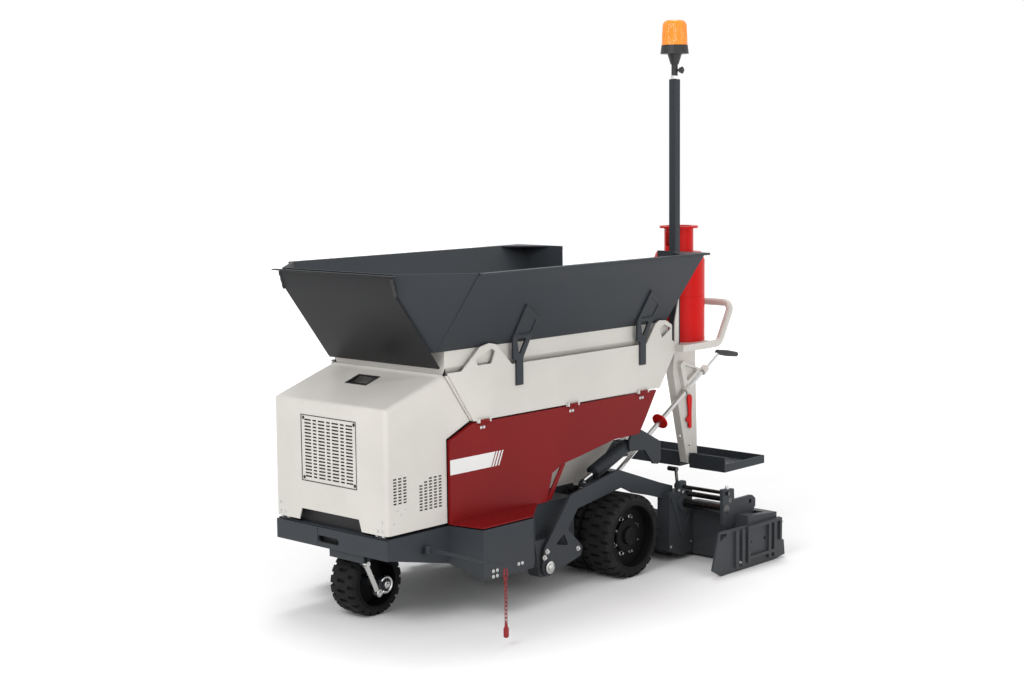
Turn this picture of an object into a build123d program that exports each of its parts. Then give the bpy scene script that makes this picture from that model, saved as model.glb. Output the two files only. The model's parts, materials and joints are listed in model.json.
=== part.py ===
from build123d import *
import os

os.makedirs("parts", exist_ok=True)

# Frame: X points to the hood end, Y to the left side, Z up.
# The origin is on the ground under the middle of the machine's length.
# Stations along X are named from the rear axle, which stands at axle_x.

# Wheels
axle_x = -81.0
rear_wheel_r = 152.0
tyre_w = 132.0
tyre_gap = 14.0
rear_outer_y = 408.0
front_x = axle_x + 950.0
front_wheel_r = 114.0
front_tyre_w = 118.0
front_wheel_y = 15.0
front_rim_r = 88.0
rear_rim_r = 118.0
rim_t = 6.0
rim_depth = 42.0
hub_r = 60.0
hub_t = 14.0
axle_r = 26.0
front_axle_r = 16.0

# Chassis
nose_x = axle_x + 1090.0
body_half = 275.0
plate = 6.0
deck_z = 312.0
bumper_top_z = deck_z - 4.0
bumper_z = 242.0
bumper_t = 10.0
apron_z = 214.0
apron_y = 65.0
apron_w = 166.0
step_x = axle_x + 812.0
knee_x = axle_x + 788.0
box_half = 412.0
box_rear_x = axle_x + 545.0
box_low_z = 142.0
step_low_z = 184.0
waist_x = axle_x + 381.0
arch_x = axle_x + 176.0
tunnel_half = 118.0
tunnel_low_z = 95.0
tail_x = axle_x - 195.0
tow_slot_y = -12.0
tow_slot_z = 270.0
tow_slot_w = 106.0
tow_slot_h = 22.0
apron_top_z = tow_slot_z - tow_slot_h / 2 - 3.0
seam_y = -64.0
seam_w = 3.0
kingpin_r = 20.0
housing_h = 46.0
housing_wall = 14.0
yoke_top_z = 250.0

# Clearances and pins
running = 0.06
pin_r = 14.0
seam_gap = 6.0
door_gap = 5.0

# Hood
hood_low_z = 323.0
hood_front_z = 731.0
hood_rear_z = 818.0
hood_rear_x = axle_x + 826.0
hood_seam_x = axle_x + 818.0
hood_wedge_x = axle_x + 706.0
hood_wedge_z = 652.0
hood_shoulder_z = 604.0
hood_skin = 4.0
hood_edge_r = 16.0
hood_pivot_x = nose_x - 10.0
hood_pivot_z = hood_low_z - 1.0
hood_pin_r = 4.0
hood_foot_y = body_half - 40.0
hood_foot_t = 7.0
hood_foot_w = 20.0
hood_ear_r = 7.0
hood_ear_t = 6.0
vent_low_half = body_half - 120.0
vent_top_half = body_half - 133.0
vent_h = 39.0

# Grilles
grille_w = 2 * body_half - 284.0
grille_h = 218.0
grille_z = 570.0
grille_rest = 8.0
grille_groove = 2.0
grille_rows = 18
grille_pitch = 11.2
slot_h = 5.6
wide_slot = 33.0
narrow_slot = 19.0
slot_gap = 8.0
vent_slot_w = 15.0
vent_col = 22.0
vent_row = 10.0

# Vent windows in the hood's sides: middle x and z, length, height
vent_fields = (
    (axle_x + 1030.0, 464.0, 74.0, 98.0),
    (axle_x + 892.0, 436.0, 122.0, 122.0),
)

# Latch recess on the hood's slope
latch_x = axle_x + 918.0
latch_y = -17.0
latch_l = 70.0
latch_w = 104.0
latch_depth = 13.0
latch_wall = 3.0

# Side panels and doors
panel_half = body_half + 15.0
panel_t = 6.0
panel_top_z = 824.0
panel_rear_x = axle_x - 398.0
panel_rear_z = 778.0
panel_foot_x = axle_x - 305.0
door_top_z = 644.0
door_skin = 4.0
door_flange = 10.0
hinge_r = 6.0
hinge_pin_r = 3.0
hinge_y = panel_half + 7.0
hinge_z = door_top_z + 3.0
hinge_l = 44.0
hinge_tab = 8.0
hinge_xs = (axle_x + 657.0, axle_x + 201.0, axle_x - 196.0)

# Hopper
rim_z = 1162.0
rim_half = 460.0
rim_nose_half = 270.0
hopper_nose_x = axle_x + 1100.0
hopper_corner_x = axle_x + 840.0
hopper_rear_x = axle_x - 361.0
hopper_low_z = 895.0
hopper_low_half = panel_half - 16.0
hopper_low_front_x = axle_x + 880.0
hopper_low_corner_x = axle_x + 850.0
low_nose_half = hopper_low_half - 22.0
hopper_skin = 5.0
rim_lip = 22.0
rim_lip_t = 8.0
band_h = 52.0
band_t = 5.0
notch_half = 238.0
notch_depth = 120.0
corner_plate = 130.0
apron_end_z = hood_rear_z + 22.0

# Hopper struts
strut_t = 8.0
strut_front = 17.0
strut_rear = 16.0
strut_xs = (axle_x + 478.0, axle_x - 196.0)
pad_press = 3.0
pad_border = 13.0

# Engine, trough and conveyor
engine_mid_x = axle_x + 945.0
engine_l = 210.0
engine_w = 400.0
engine_h = 330.0
trough_half = hopper_low_half - 2.0
trough_bend_z = 840.0
trough_neck_z = 530.0
trough_skin = 5.0
trough_front_x = axle_x + 812.0
trough_rear_x = axle_x - 380.0
chute_x = tail_x
chute_z = 400.0
chute_step = 45.0
chute_rise = 220.0
belt_end = 20.0
belt_half = 100.0
belt_h = 60.0
slat_h = 14.0
slat_w = 10.0
slat_pitch = 80.0

# Tow arms and screed
pin_x = axle_x + 386.0
pin_z = 101.0
arm_y = box_half - 72.0
arm_t = 10.0
arm_in_y = arm_y - arm_t
bracket_in_y = arm_in_y - 12.0
bracket_out_y = arm_y + 35.0
tower_t = 16.0
tube_x = axle_x - 340.0
tube_z = 217.0
tube_r = 17.0
tube_in_y = 290.0
side_tube_x = tube_x - 22.0
side_tube_z = tube_z + 32.0
side_tube_r = 10.0
spindle_z = tube_z + 61.0
spindle_r = 7.0
spindle_out_y = 585.0
spindle_in_y = arm_y + 6.0
crank_arm_h = 62.0
crank_grip_l = 42.0
disc_r = 34.0
post_y = 560.0
post_t = 14.0
extension_in_y = 262.0
end_plate_y = 632.0
end_plate_t = 8.0
end_rib_t = 10.0
end_hole_r = 6.5
end_hole_pitch = 90.0
end_hole_x = axle_x - 445.0
end_hole_z = 95.0

# Rear console, handle, bottle and mast
tray_front_x = panel_rear_x
tray_rear_x = axle_x - 592.0
tray_half = 330.0
tray_z = 804.0
tray_t = 26.0
cheek_top_z = 985.0
handle_r = 14.0
handle_run = 50.0
handle_bend = 38.0
handle_rear_x = axle_x - 727.0
handle_z = 940.0
bottle_x = axle_x - 545.0
bottle_y = 196.0
bottle_r = 100.0
bottle_low_z = tray_z
bottle_top_z = 1146.0
collar_r = 56.0
collar_wall = 5.0
collar_lip = 18.0
collar_top_z = 1246.0
window_w = 46.0
window_h = 52.0
mast_x = axle_x - 425.0
mast_y = 267.0
mast_w = 30.0
mast_top_z = 1800.0
beacon_z = 2018.0
lens_r = 49.0
lens_h = 92.0
skirt_h = 32.0
stem_h = 55.0

# Legs and footboard
leg_y = 150.0
leg_w = 34.0
board_half = arm_y + 5.0
board_front_x = axle_x - 645.0
board_rear_x = axle_x - 915.0
board_low_z = 281.0
board_top_z = 313.0
board_front_z = 340.0
board_t = 4.0
board_pivot_x = axle_x - 722.0
board_pivot_z = 297.0
board_pin_r = 8.0

# Crank rods
crank_y = 184.0
crank_r = 9.0
crank_low_x = axle_x - 160.0
crank_low_z = 323.0
crank_high_x = axle_x - 812.0
crank_high_z = 719.0
crank_block = 40.0
depth_disc_r = 33.0
disc_at = 330.0
collar_at = (530.0, 660.0)

# Guide rod and chain
guide_x = axle_x + 926.0
guide_z = 256.0
guide_r = 6.0
guide_tip_y = 644.0
guide_pin_y = body_half + 18.0
guide_pin_r = 5.0
chain_low_z = 28.0

# Lift cylinders
lift_y = 232.0
lift_top_x = axle_x - 180.0
lift_top_z = 445.0
lift_eye_x = axle_x + 95.0
lift_eye_z = 336.0
lift_pin_r = 9.0
barrel_r = 27.0
rod_r = 12.0
barrel_l = 215.0
eye_slack = 4.5
bracket_y = 270.0
bracket_t = 8.0

SIDES = (("left", 1), ("right", -1))


def from_axle(rows):
    """Rows of (x ahead of the rear axle, z, corner radius if any) as rows in the machine's frame."""
    return [(axle_x + row[0], *row[1:]) for row in rows]


def outward(side, near_y, thickness):
    """The lower Y of a plate that starts near_y from the middle plane and is thickened outward."""
    return near_y if side > 0 else -near_y - thickness


def flat(corners, thickness):
    """A flat plate whose face passes through the corners, thickened along the face's normal."""
    first, second, third = (Vector(*corner) for corner in corners[:3])
    normal = (second - first).cross(third - second)
    face = Plane(origin=first, x_dir=second - first, z_dir=normal)
    local = [face.to_local_coords(Vector(*corner)) for corner in corners]
    with BuildSketch(face) as outline:
        with BuildLine():
            Polyline(*[(point.X, point.Y) for point in local], close=True)
        make_face()
    extrude(outline.sketch, amount=thickness)


def side_profile(rows, y, thickness, mode=Mode.ADD):
    """A side outline of (x, z) rows, each with a corner radius if it has one, extruded from y towards +Y."""
    with BuildSketch(Plane.XZ.offset(-y)) as outline:
        with BuildLine():
            Polyline(*[row[:2] for row in rows], close=True)
        make_face()
        for row in rows:
            if len(row) == 3:
                fillet(outline.vertices().sort_by_distance((row[0], row[1]))[0], row[2])
    extrude(outline.sketch, amount=-thickness, mode=mode)


def bar(start, end, radius, mode=Mode.ADD):
    """A round bar between two points."""
    way = Vector(*end) - Vector(*start)
    with BuildSketch(Plane(origin=start, z_dir=way)) as section:
        Circle(radius)
    extrude(section.sketch, amount=way.length, mode=mode)


def cross_bar(x, z, low_y, high_y, radius, mode=Mode.ADD):
    """A round bar or bore along Y between two Y values."""
    bar((x, low_y, z), (x, high_y, z), radius, mode)


# Chassis frame: bumper, side plates, knee boxes, deck and the narrow tunnel between the rear wheels
with BuildPart() as chassis_frame:
    nose_back_x = nose_x - bumper_t
    side_plate = [
        (nose_back_x, deck_z),
        (step_x - plate, deck_z),
        (step_x - plate, step_low_z),
        (nose_back_x, bumper_z),
    ]
    for _, side in SIDES:
        side_profile(side_plate, outward(side, body_half - plate, plate), plate)
    with BuildSketch(Plane.YZ.offset(nose_back_x)):
        with Locations((0, (bumper_top_z + bumper_z) / 2)):
            Rectangle(2 * body_half, bumper_top_z - bumper_z)
        with Locations((tow_slot_y, tow_slot_z)):
            SlotOverall(tow_slot_w, tow_slot_h, mode=Mode.SUBTRACT)
    extrude(amount=bumper_t)
    with Locations((nose_x, seam_y, (bumper_top_z + bumper_z) / 2)):
        Box(seam_w, seam_w, bumper_top_z - bumper_z, mode=Mode.SUBTRACT)
    with Locations((nose_back_x - plate / 2, apron_y, (apron_top_z + apron_z) / 2)):
        Box(plate, apron_w, apron_top_z - apron_z)
    with BuildSketch(Plane.XY.offset(deck_z - plate)):
        with BuildLine():
            Polyline(
                (nose_back_x, body_half),
                (step_x, body_half),
                (knee_x, box_half),
                (box_rear_x, box_half),
                (waist_x, body_half),
                (arch_x, body_half),
                (arch_x, tunnel_half),
                (tail_x, tunnel_half),
                (tail_x, 0),
                (nose_back_x, 0),
                close=True,
            )
        make_face()
        mirror(about=Plane.XZ)
    extrude(amount=plate)
    for _, side in SIDES:
        step_top = (step_x, side * body_half, deck_z)
        step_low = (step_x, side * body_half, step_low_z)
        knee_top = (knee_x, side * box_half, deck_z)
        knee_low = (knee_x, side * box_half, box_low_z)
        rear_top = (box_rear_x, side * box_half, deck_z)
        rear_low = (box_rear_x, side * box_half, box_low_z)
        waist_top = (waist_x, side * body_half, deck_z)
        waist_low = (waist_x, side * body_half, box_low_z)
        bend_top = (waist_x + plate, side * body_half, deck_z)
        bend_low = (waist_x + plate, side * body_half, box_low_z)
        arch_top = (arch_x, side * body_half, deck_z)
        arch_low = (arch_x, side * body_half, box_low_z)
        for corners in (
            [step_top, knee_top, knee_low, step_low],
            [knee_top, rear_top, rear_low, knee_low],
            [rear_top, waist_top, waist_low, rear_low],
            [bend_top, arch_top, arch_low, bend_low],
        ):
            flat(corners, side * plate)
    # The tunnel walls carry the rear axle and are joined across by the arch wall.
    for _, side in SIDES:
        with Locations(((waist_x + tail_x) / 2, side * (tunnel_half - plate / 2), (deck_z + tunnel_low_z) / 2)):
            Box(waist_x - tail_x, plate, deck_z - tunnel_low_z)
    with Locations((arch_x + plate / 2, 0, (deck_z + box_low_z) / 2)):
        Box(plate, 2 * body_half, deck_z - box_low_z)
    with Locations((waist_x, 0, (deck_z + tunnel_low_z) / 2)):
        Box(plate, 2 * tunnel_half, deck_z - tunnel_low_z)
    # Kingpin housing under the deck and the axle's bore through the tunnel
    with Locations((front_x, 0, deck_z - housing_h / 2)):
        Cylinder(kingpin_r + housing_wall, housing_h)
        Cylinder(kingpin_r + running, housing_h, mode=Mode.SUBTRACT)
    cross_bar(axle_x, rear_wheel_r, -tunnel_half, tunnel_half, axle_r, Mode.SUBTRACT)
    # The guide rod's bracket with its upright pin
    bracket_l = guide_pin_y + 2 * guide_pin_r - body_half
    with Locations((guide_x, body_half + bracket_l / 2, guide_z - 3 * guide_pin_r)):
        Box(4.8 * guide_pin_r, bracket_l, guide_pin_r)
    with Locations((guide_x, guide_pin_y, guide_z - 2)):
        Cylinder(guide_pin_r, 28)
chassis_frame.part.label = "chassis_frame"
export_step(chassis_frame.part, "parts/chassis_frame.step")

# Deck fittings: the hood's feet with their pins, and the blocks that hold the crank rods' lower ends
with BuildPart() as deck_fittings:
    for _, side in SIDES:
        foot_y = side * hood_foot_y
        pin_reach = 1.1 * hood_foot_w
        cross_bar(hood_pivot_x, hood_pivot_z, foot_y - pin_reach, foot_y + pin_reach, hood_pin_r)
        with Locations((hood_pivot_x, foot_y, (deck_z + hood_pivot_z) / 2)):
            Box(hood_foot_t, hood_foot_w, hood_pivot_z - deck_z)
        block_out_y = crank_y + housing_wall
        with Locations((crank_low_x, side * (tunnel_half + block_out_y) / 2, crank_low_z)):
            Box(crank_block, block_out_y - tunnel_half, crank_block)
        bar_start = (crank_low_x, side * crank_y, crank_low_z)
        bar_end = (crank_high_x, side * crank_y, crank_high_z)
        bar(bar_start, bar_end, crank_r, Mode.SUBTRACT)
deck_fittings.part.label = "deck_fittings"
export_step(deck_fittings.part, "parts/deck_fittings.step")

# Arm hangers: a cheek on the side plate below the deck's waist, with the tow arm's pin standing out of it
hanger = [
    (pin_x - 40, box_low_z + 58),
    (pin_x - 34, pin_z - 34, 12),
    (pin_x + 34, pin_z - 34, 12),
    (pin_x + 55, box_low_z + 58),
]
hanger_t = arm_in_y - plate - body_half
for hand, side in SIDES:
    with BuildPart() as arm_hanger:
        side_profile(hanger, outward(side, body_half, hanger_t), hanger_t)
        # The cheek ends at the slanting rear wall of the knee box.
        with BuildSketch(Plane.XY.offset(box_low_z)):
            with BuildLine():
                Polyline(
                    (waist_x, side * body_half),
                    (box_rear_x, side * box_half),
                    (box_rear_x, side * body_half),
                    close=True,
                )
            make_face()
        extrude(amount=deck_z - box_low_z, mode=Mode.SUBTRACT)
        cross_bar(pin_x, pin_z, side * (body_half + plate), side * (arm_y + 7), pin_r)
    arm_hanger.part.label = f"arm_hanger_{hand}"
    export_step(arm_hanger.part, f"parts/arm_hanger_{hand}.step")

# Engine: one plain block under the hood, on the deck
with BuildPart() as engine_block:
    with BuildSketch(Plane.XY.offset(deck_z)):
        with Locations((engine_mid_x, 0)):
            Rectangle(engine_l, engine_w)
    extrude(amount=engine_h)
engine_block.part.label = "engine_block"
export_step(engine_block.part, "parts/engine_block.step")

# Side panels with hinge pins for the doors, and lifting lugs standing on them
panel_outline = [
    (hood_wedge_x - seam_gap, door_top_z + seam_gap),
    (hood_rear_x - seam_gap, panel_top_z),
    (axle_x - 380, panel_top_z),
    (panel_rear_x, panel_top_z - 10),
    (panel_rear_x, panel_rear_z),
    (panel_foot_x, door_top_z + seam_gap),
]
front_lug = from_axle([
    (753, panel_top_z),
    (667, 897, 10),
    (623, 906, 24),
    (588, 899, 14),
    (511, panel_top_z),
])
front_hole = from_axle([(689, 856, 6), (610, 886, 6), (592, 877, 6), (611, 836, 6), (678, 836, 6)])
rear_lug = from_axle([
    (-227, panel_top_z),
    (-281, 895, 10),
    (-303, 905, 14),
    (-341, 902, 14),
    (-380, 882, 10),
    (-380, panel_top_z),
])
rear_hole = from_axle([(-303, 876, 4), (-335, 887, 6), (-377, 869, 4), (-319, 837, 4)])
for hand, side in SIDES:
    panel_low_y = outward(side, panel_half - panel_t, panel_t)
    with BuildPart() as side_panel:
        side_profile(panel_outline, panel_low_y, panel_t)
        for hinge_x in hinge_xs:
            with Locations((hinge_x, side * hinge_y, hinge_z)):
                Cylinder(hinge_pin_r, hinge_l + 1.5 * hinge_tab, rotation=(0, 90, 0))
            for end in (1, -1):
                tab_x = hinge_x + end * (hinge_l / 2 + 0.6 * hinge_tab)
                with Locations((tab_x, side * (panel_half + hinge_y + 4) / 2, hinge_z + hinge_pin_r)):
                    Box(hinge_tab, hinge_y + 4 - panel_half, 14)
    side_panel.part.label = f"side_panel_{hand}"
    export_step(side_panel.part, f"parts/side_panel_{hand}.step")
    for name, lug, hole in (("lug_front", front_lug, front_hole), ("lug_rear", rear_lug, rear_hole)):
        with BuildPart() as lifting_lug:
            side_profile(lug, panel_low_y, panel_t)
            side_profile(hole, panel_low_y, panel_t, Mode.SUBTRACT)
        lifting_lug.part.label = f"{name}_{hand}"
        export_step(lifting_lug.part, f"parts/{name}_{hand}.step")

# Conveyor trough: an open channel under the hopper, wide at its top and narrow over the wheels
with BuildPart() as conveyor_trough:
    with BuildSketch(Plane.YZ.offset(trough_rear_x)):
        with BuildLine():
            Polyline(
                (trough_half, hopper_low_z),
                (trough_half, trough_bend_z),
                (tunnel_half, trough_neck_z),
                (tunnel_half, deck_z),
                (0, deck_z),
                (0, deck_z + trough_skin),
                (tunnel_half - trough_skin, deck_z + trough_skin),
                (tunnel_half - trough_skin, trough_neck_z + 2),
                (trough_half - trough_skin, trough_bend_z + 2),
                (trough_half - trough_skin, hopper_low_z),
                close=True,
            )
        make_face()
        mirror(about=Plane.YZ)
    extrude(amount=trough_front_x - trough_rear_x)
    with BuildSketch(Plane.YZ.offset(trough_front_x)):
        with BuildLine():
            Polyline(
                (trough_half, hopper_low_z),
                (trough_half, trough_bend_z),
                (tunnel_half, trough_neck_z),
                (tunnel_half, deck_z),
                (0, deck_z),
                (0, hopper_low_z),
                close=True,
            )
        make_face()
        mirror(about=Plane.YZ)
    extrude(amount=trough_skin)
    chute_cut = [
        (chute_x, deck_z - 1),
        (chute_x, chute_z),
        (chute_x - chute_step, chute_z + chute_step - 5),
        (trough_rear_x - 1, chute_z + chute_rise),
        (trough_rear_x - 1, deck_z - 1),
    ]
    side_profile(chute_cut, -trough_half - 1, 2 * trough_half + 2, Mode.SUBTRACT)
conveyor_trough.part.label = "conveyor_trough"
export_step(conveyor_trough.part, "parts/conveyor_trough.step")

# Conveyor: a bed with cross slats
with BuildPart() as conveyor:
    bed_l = trough_front_x - chute_x - 2 * belt_end
    bed_mid_x = (trough_front_x + chute_x) / 2
    with Locations((bed_mid_x, 0, deck_z + trough_skin + belt_h / 2)):
        Box(bed_l, 2 * belt_half, belt_h)
    with Locations((bed_mid_x, 0, deck_z + trough_skin + belt_h + slat_h / 2)):
        with GridLocations(slat_pitch, 0, int(bed_l / slat_pitch), 1):
            Box(slat_w, 2 * belt_half, slat_h)
conveyor.part.label = "conveyor"
export_step(conveyor.part, "parts/conveyor.step")


def hopper_ring(z, nose, corner, nose_half, side_half, rear, inset):
    """The hopper's plan outline at height z, drawn inward by inset."""
    with BuildSketch(Plane.XY.offset(z)) as ring:
        with BuildLine():
            Polyline(
                (nose - inset, nose_half - inset / 2),
                (corner - inset / 2, side_half - inset),
                (rear + inset, side_half - inset),
                (rear + inset, -side_half + inset),
                (corner - inset / 2, -side_half + inset),
                (nose - inset, -nose_half + inset / 2),
                close=True,
            )
        make_face()
    return ring.sketch


# Hopper: sloping sheet walls, open above and below, cut down at the rear for the view of the mix
with BuildPart() as hopper_shell:
    rim = (rim_z, hopper_nose_x, hopper_corner_x, rim_nose_half, rim_half, hopper_rear_x)
    low = (hopper_low_z, hopper_low_front_x, hopper_low_corner_x, low_nose_half, hopper_low_half, hopper_rear_x)
    loft([hopper_ring(*low, 0), hopper_ring(*rim, 0)], ruled=True)
    loft([hopper_ring(*low, hopper_skin), hopper_ring(*rim, hopper_skin)], ruled=True, mode=Mode.SUBTRACT)
    with Locations((hopper_rear_x, 0, rim_z - notch_depth / 2)):
        Box(4 * hopper_skin, 2 * notch_half, notch_depth, mode=Mode.SUBTRACT)
    # The front wall runs on down to the hood's rear edge and carries a stiffening band under its rim.
    apron_x = trough_front_x + 2 * trough_skin
    apron = [
        (hopper_low_front_x, low_nose_half, hopper_low_z),
        (hopper_low_front_x, -low_nose_half, hopper_low_z),
        (apron_x, -low_nose_half, apron_end_z),
        (apron_x, low_nose_half, apron_end_z),
    ]
    flat(apron, -hopper_skin)
    front_lean = (hopper_nose_x - hopper_low_front_x) / (rim_z - hopper_low_z)
    band_x = hopper_nose_x - band_h * front_lean
    band_half = rim_nose_half - band_h * (rim_nose_half - low_nose_half) / (rim_z - hopper_low_z)
    band = [
        (hopper_nose_x, rim_nose_half, rim_z),
        (hopper_nose_x, -rim_nose_half, rim_z),
        (band_x, -band_half, rim_z - band_h),
        (band_x, band_half, rim_z - band_h),
    ]
    flat(band, band_t)
    with Locations((hopper_nose_x + band_t, 0, rim_z - rim_lip_t / 4)):
        Box(rim_lip, 2 * rim_nose_half + rim_lip, rim_lip_t / 2)
    # Outward lips along the side rims and a flat plate in each rear corner
    for _, side in SIDES:
        lip_mid_x = (hopper_corner_x + hopper_rear_x) / 2
        with Locations((lip_mid_x, side * (rim_half + rim_lip / 2 - 2), rim_z - rim_lip_t / 2)):
            Box(hopper_corner_x - hopper_rear_x, rim_lip, rim_lip_t)
        with BuildSketch(Plane.XY.offset(rim_z - hopper_skin)):
            with BuildLine():
                Polyline(
                    (hopper_rear_x, side * rim_half),
                    (hopper_rear_x + corner_plate, side * rim_half),
                    (hopper_rear_x, side * (rim_half - 1.2 * corner_plate)),
                    close=True,
                )
            make_face()
        extrude(amount=hopper_skin)
hopper_shell.part.label = "hopper_shell"
export_step(hopper_shell.part, "parts/hopper_shell.step")

# Hopper struts: a leg on the side panel, a V with a rounded opening, and a pressed pad on the sloping wall
wall_slope = (rim_half - hopper_low_half) / (rim_z - hopper_low_z)
fold_z = hopper_low_z + (panel_half - hopper_low_half) / wall_slope
for hand, side in SIDES:
    with BuildPart() as hopper_struts:
        for foot_x in strut_xs:
            leg_low_y = outward(side, panel_half, strut_t)
            leg = [
                (foot_x - strut_rear, fold_z - 169),
                (foot_x + strut_front, fold_z - 169),
                (foot_x + strut_front, fold_z - 83),
                (foot_x + 2 * strut_front, fold_z - 76),
                (foot_x + 2 * strut_front, fold_z),
                (foot_x - 62, fold_z),
                (foot_x - strut_rear, fold_z - 76, 20),
            ]
            side_profile(leg, leg_low_y, strut_t)
            hole = [(foot_x + 14, fold_z - 8, 5), (foot_x - 34, fold_z - 8, 5), (foot_x + 4, fold_z - 68, 5)]
            side_profile(hole, leg_low_y, strut_t, Mode.SUBTRACT)
            corners = []
            for ahead, rise in ((34, 0), (51, 118), (-53, 65), (-62, 0)):
                z = fold_z + rise
                wall_y = hopper_low_half + (z - hopper_low_z) * wall_slope
                corners.append(Vector(foot_x + ahead, side * wall_y, z))
            normal = (corners[1] - corners[0]).cross(corners[2] - corners[1])
            pad_face = Plane(origin=corners[0], x_dir=corners[1] - corners[0], z_dir=normal)
            local = [pad_face.to_local_coords(corner) for corner in corners]
            with BuildSketch(pad_face):
                with BuildLine():
                    Polyline(*[(point.X, point.Y) for point in local], close=True)
                make_face()
            extrude(amount=-side * strut_t)
            # The pressed field stays inside a border all round.
            with BuildSketch(pad_face.offset(-side * (strut_t - pad_press))) as field:
                with BuildLine():
                    Polyline(*[(point.X, point.Y) for point in local], close=True)
                make_face()
                offset(amount=-pad_border, kind=Kind.INTERSECTION, mode=Mode.REPLACE)
                fillet(field.vertices(), pad_border / 2)
            extrude(amount=-side * strut_t, mode=Mode.SUBTRACT)
    hopper_struts.part.label = f"hopper_struts_{hand}"
    export_step(hopper_struts.part, f"parts/hopper_struts_{hand}.step")

# Hood: one skin over the front, top and sides, open behind and below, hinged at its front foot
hood_slope = Vector(hood_rear_x - nose_x, 0, hood_rear_z - hood_front_z).normalized()


def hood_block(rows, half, round_r):
    """A closed block of the hood's side outline with its front, top and slope edges rounded."""
    with BuildPart() as block:
        side_profile(rows, -half, 2 * half)
        upright = block.edges().filter_by(Axis.Z).group_by(Axis.X)[-1]
        across = block.edges().filter_by(Axis.Y).group_by(Axis.X)[-1].sort_by(Axis.Z)[-1:]
        sloping = block.edges().filter_by(Axis((0, 0, 0), hood_slope))
        fillet(upright + across + sloping, round_r)
    return block.part


def slope_z(x):
    """The height of the hood's sloping top at a station."""
    return hood_front_z + (nose_x - x) * (hood_rear_z - hood_front_z) / (nose_x - hood_rear_x)


with BuildPart() as hood_shell:
    hood_outline = [
        (nose_x, hood_low_z),
        (nose_x, hood_front_z),
        (hood_rear_x, hood_rear_z),
        (hood_wedge_x, hood_wedge_z),
        (hood_seam_x, hood_shoulder_z),
        (hood_seam_x, hood_low_z),
    ]
    add(hood_block(hood_outline, body_half, hood_edge_r))
    open_x = hood_wedge_x - 10
    hood_inside = [
        (nose_x - hood_skin, hood_low_z - 1),
        (nose_x - hood_skin, slope_z(nose_x - hood_skin) - hood_skin),
        (open_x, slope_z(open_x) - hood_skin),
        (open_x, hood_low_z - 1),
    ]
    add(hood_block(hood_inside, body_half - hood_skin, hood_edge_r - hood_skin), mode=Mode.SUBTRACT)
    # The front opening has a rest all round for the grille, and a foot vent below it.
    with BuildSketch(Plane.YZ.offset(nose_x - 2 * hood_skin)):
        with BuildLine():
            Polyline(
                (-vent_low_half, hood_low_z - 1),
                (-vent_top_half, hood_low_z + vent_h),
                (vent_top_half, hood_low_z + vent_h),
                (vent_low_half, hood_low_z - 1),
                close=True,
            )
        make_face()
        with Locations((0, grille_z)):
            Rectangle(grille_w - 2 * grille_rest, grille_h - 2 * grille_rest)
    extrude(amount=3 * hood_skin, mode=Mode.SUBTRACT)
    with BuildSketch(Plane.YZ.offset(nose_x - hood_skin / 2)):
        with Locations((0, grille_z)):
            Rectangle(grille_w + 2 * grille_groove, grille_h + 2 * grille_groove)
    extrude(amount=hood_skin, mode=Mode.SUBTRACT)
    # A small and a large window in each side hold the vent plates.
    with BuildSketch(Plane.XZ.offset(-body_half - 1)):
        for vent_x, vent_z, vent_l, vent_tall in vent_fields:
            with Locations((vent_x, vent_z)):
                Rectangle(vent_l, vent_tall)
    extrude(amount=2 * body_half + 2, mode=Mode.SUBTRACT)
    # Latch recess: a cup let into the sloping top
    latch_up = Vector(0, 1, 0).cross(hood_slope)
    latch_face = Plane(origin=(latch_x, latch_y, slope_z(latch_x)), x_dir=hood_slope, z_dir=latch_up)
    with BuildSketch(latch_face.offset(-hood_skin / 2)):
        Rectangle(latch_l + 2 * latch_wall, latch_w + 2 * latch_wall)
    extrude(amount=-latch_depth - latch_wall + hood_skin / 2)
    with BuildSketch(latch_face.offset(1)):
        RectangleRounded(latch_l, latch_w, 6)
    extrude(amount=-latch_depth - 1, mode=Mode.SUBTRACT)
    for _, side in SIDES:
        for ear in (1, -1):
            ear_y = side * hood_foot_y + ear * 15
            cross_bar(hood_pivot_x, hood_pivot_z, ear_y - hood_ear_t / 2, ear_y + hood_ear_t / 2, hood_ear_r)
            with Locations((hood_pivot_x + 1.5, ear_y, hood_pivot_z + 10.5)):
                Box(11, hood_ear_t, 21)
            cross_bar(
                hood_pivot_x,
                hood_pivot_z,
                ear_y - hood_ear_t,
                ear_y + hood_ear_t,
                hood_pin_r + running,
                Mode.SUBTRACT,
            )
hood_shell.part.label = "hood_shell"
export_step(hood_shell.part, "parts/hood_shell.step")

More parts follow.
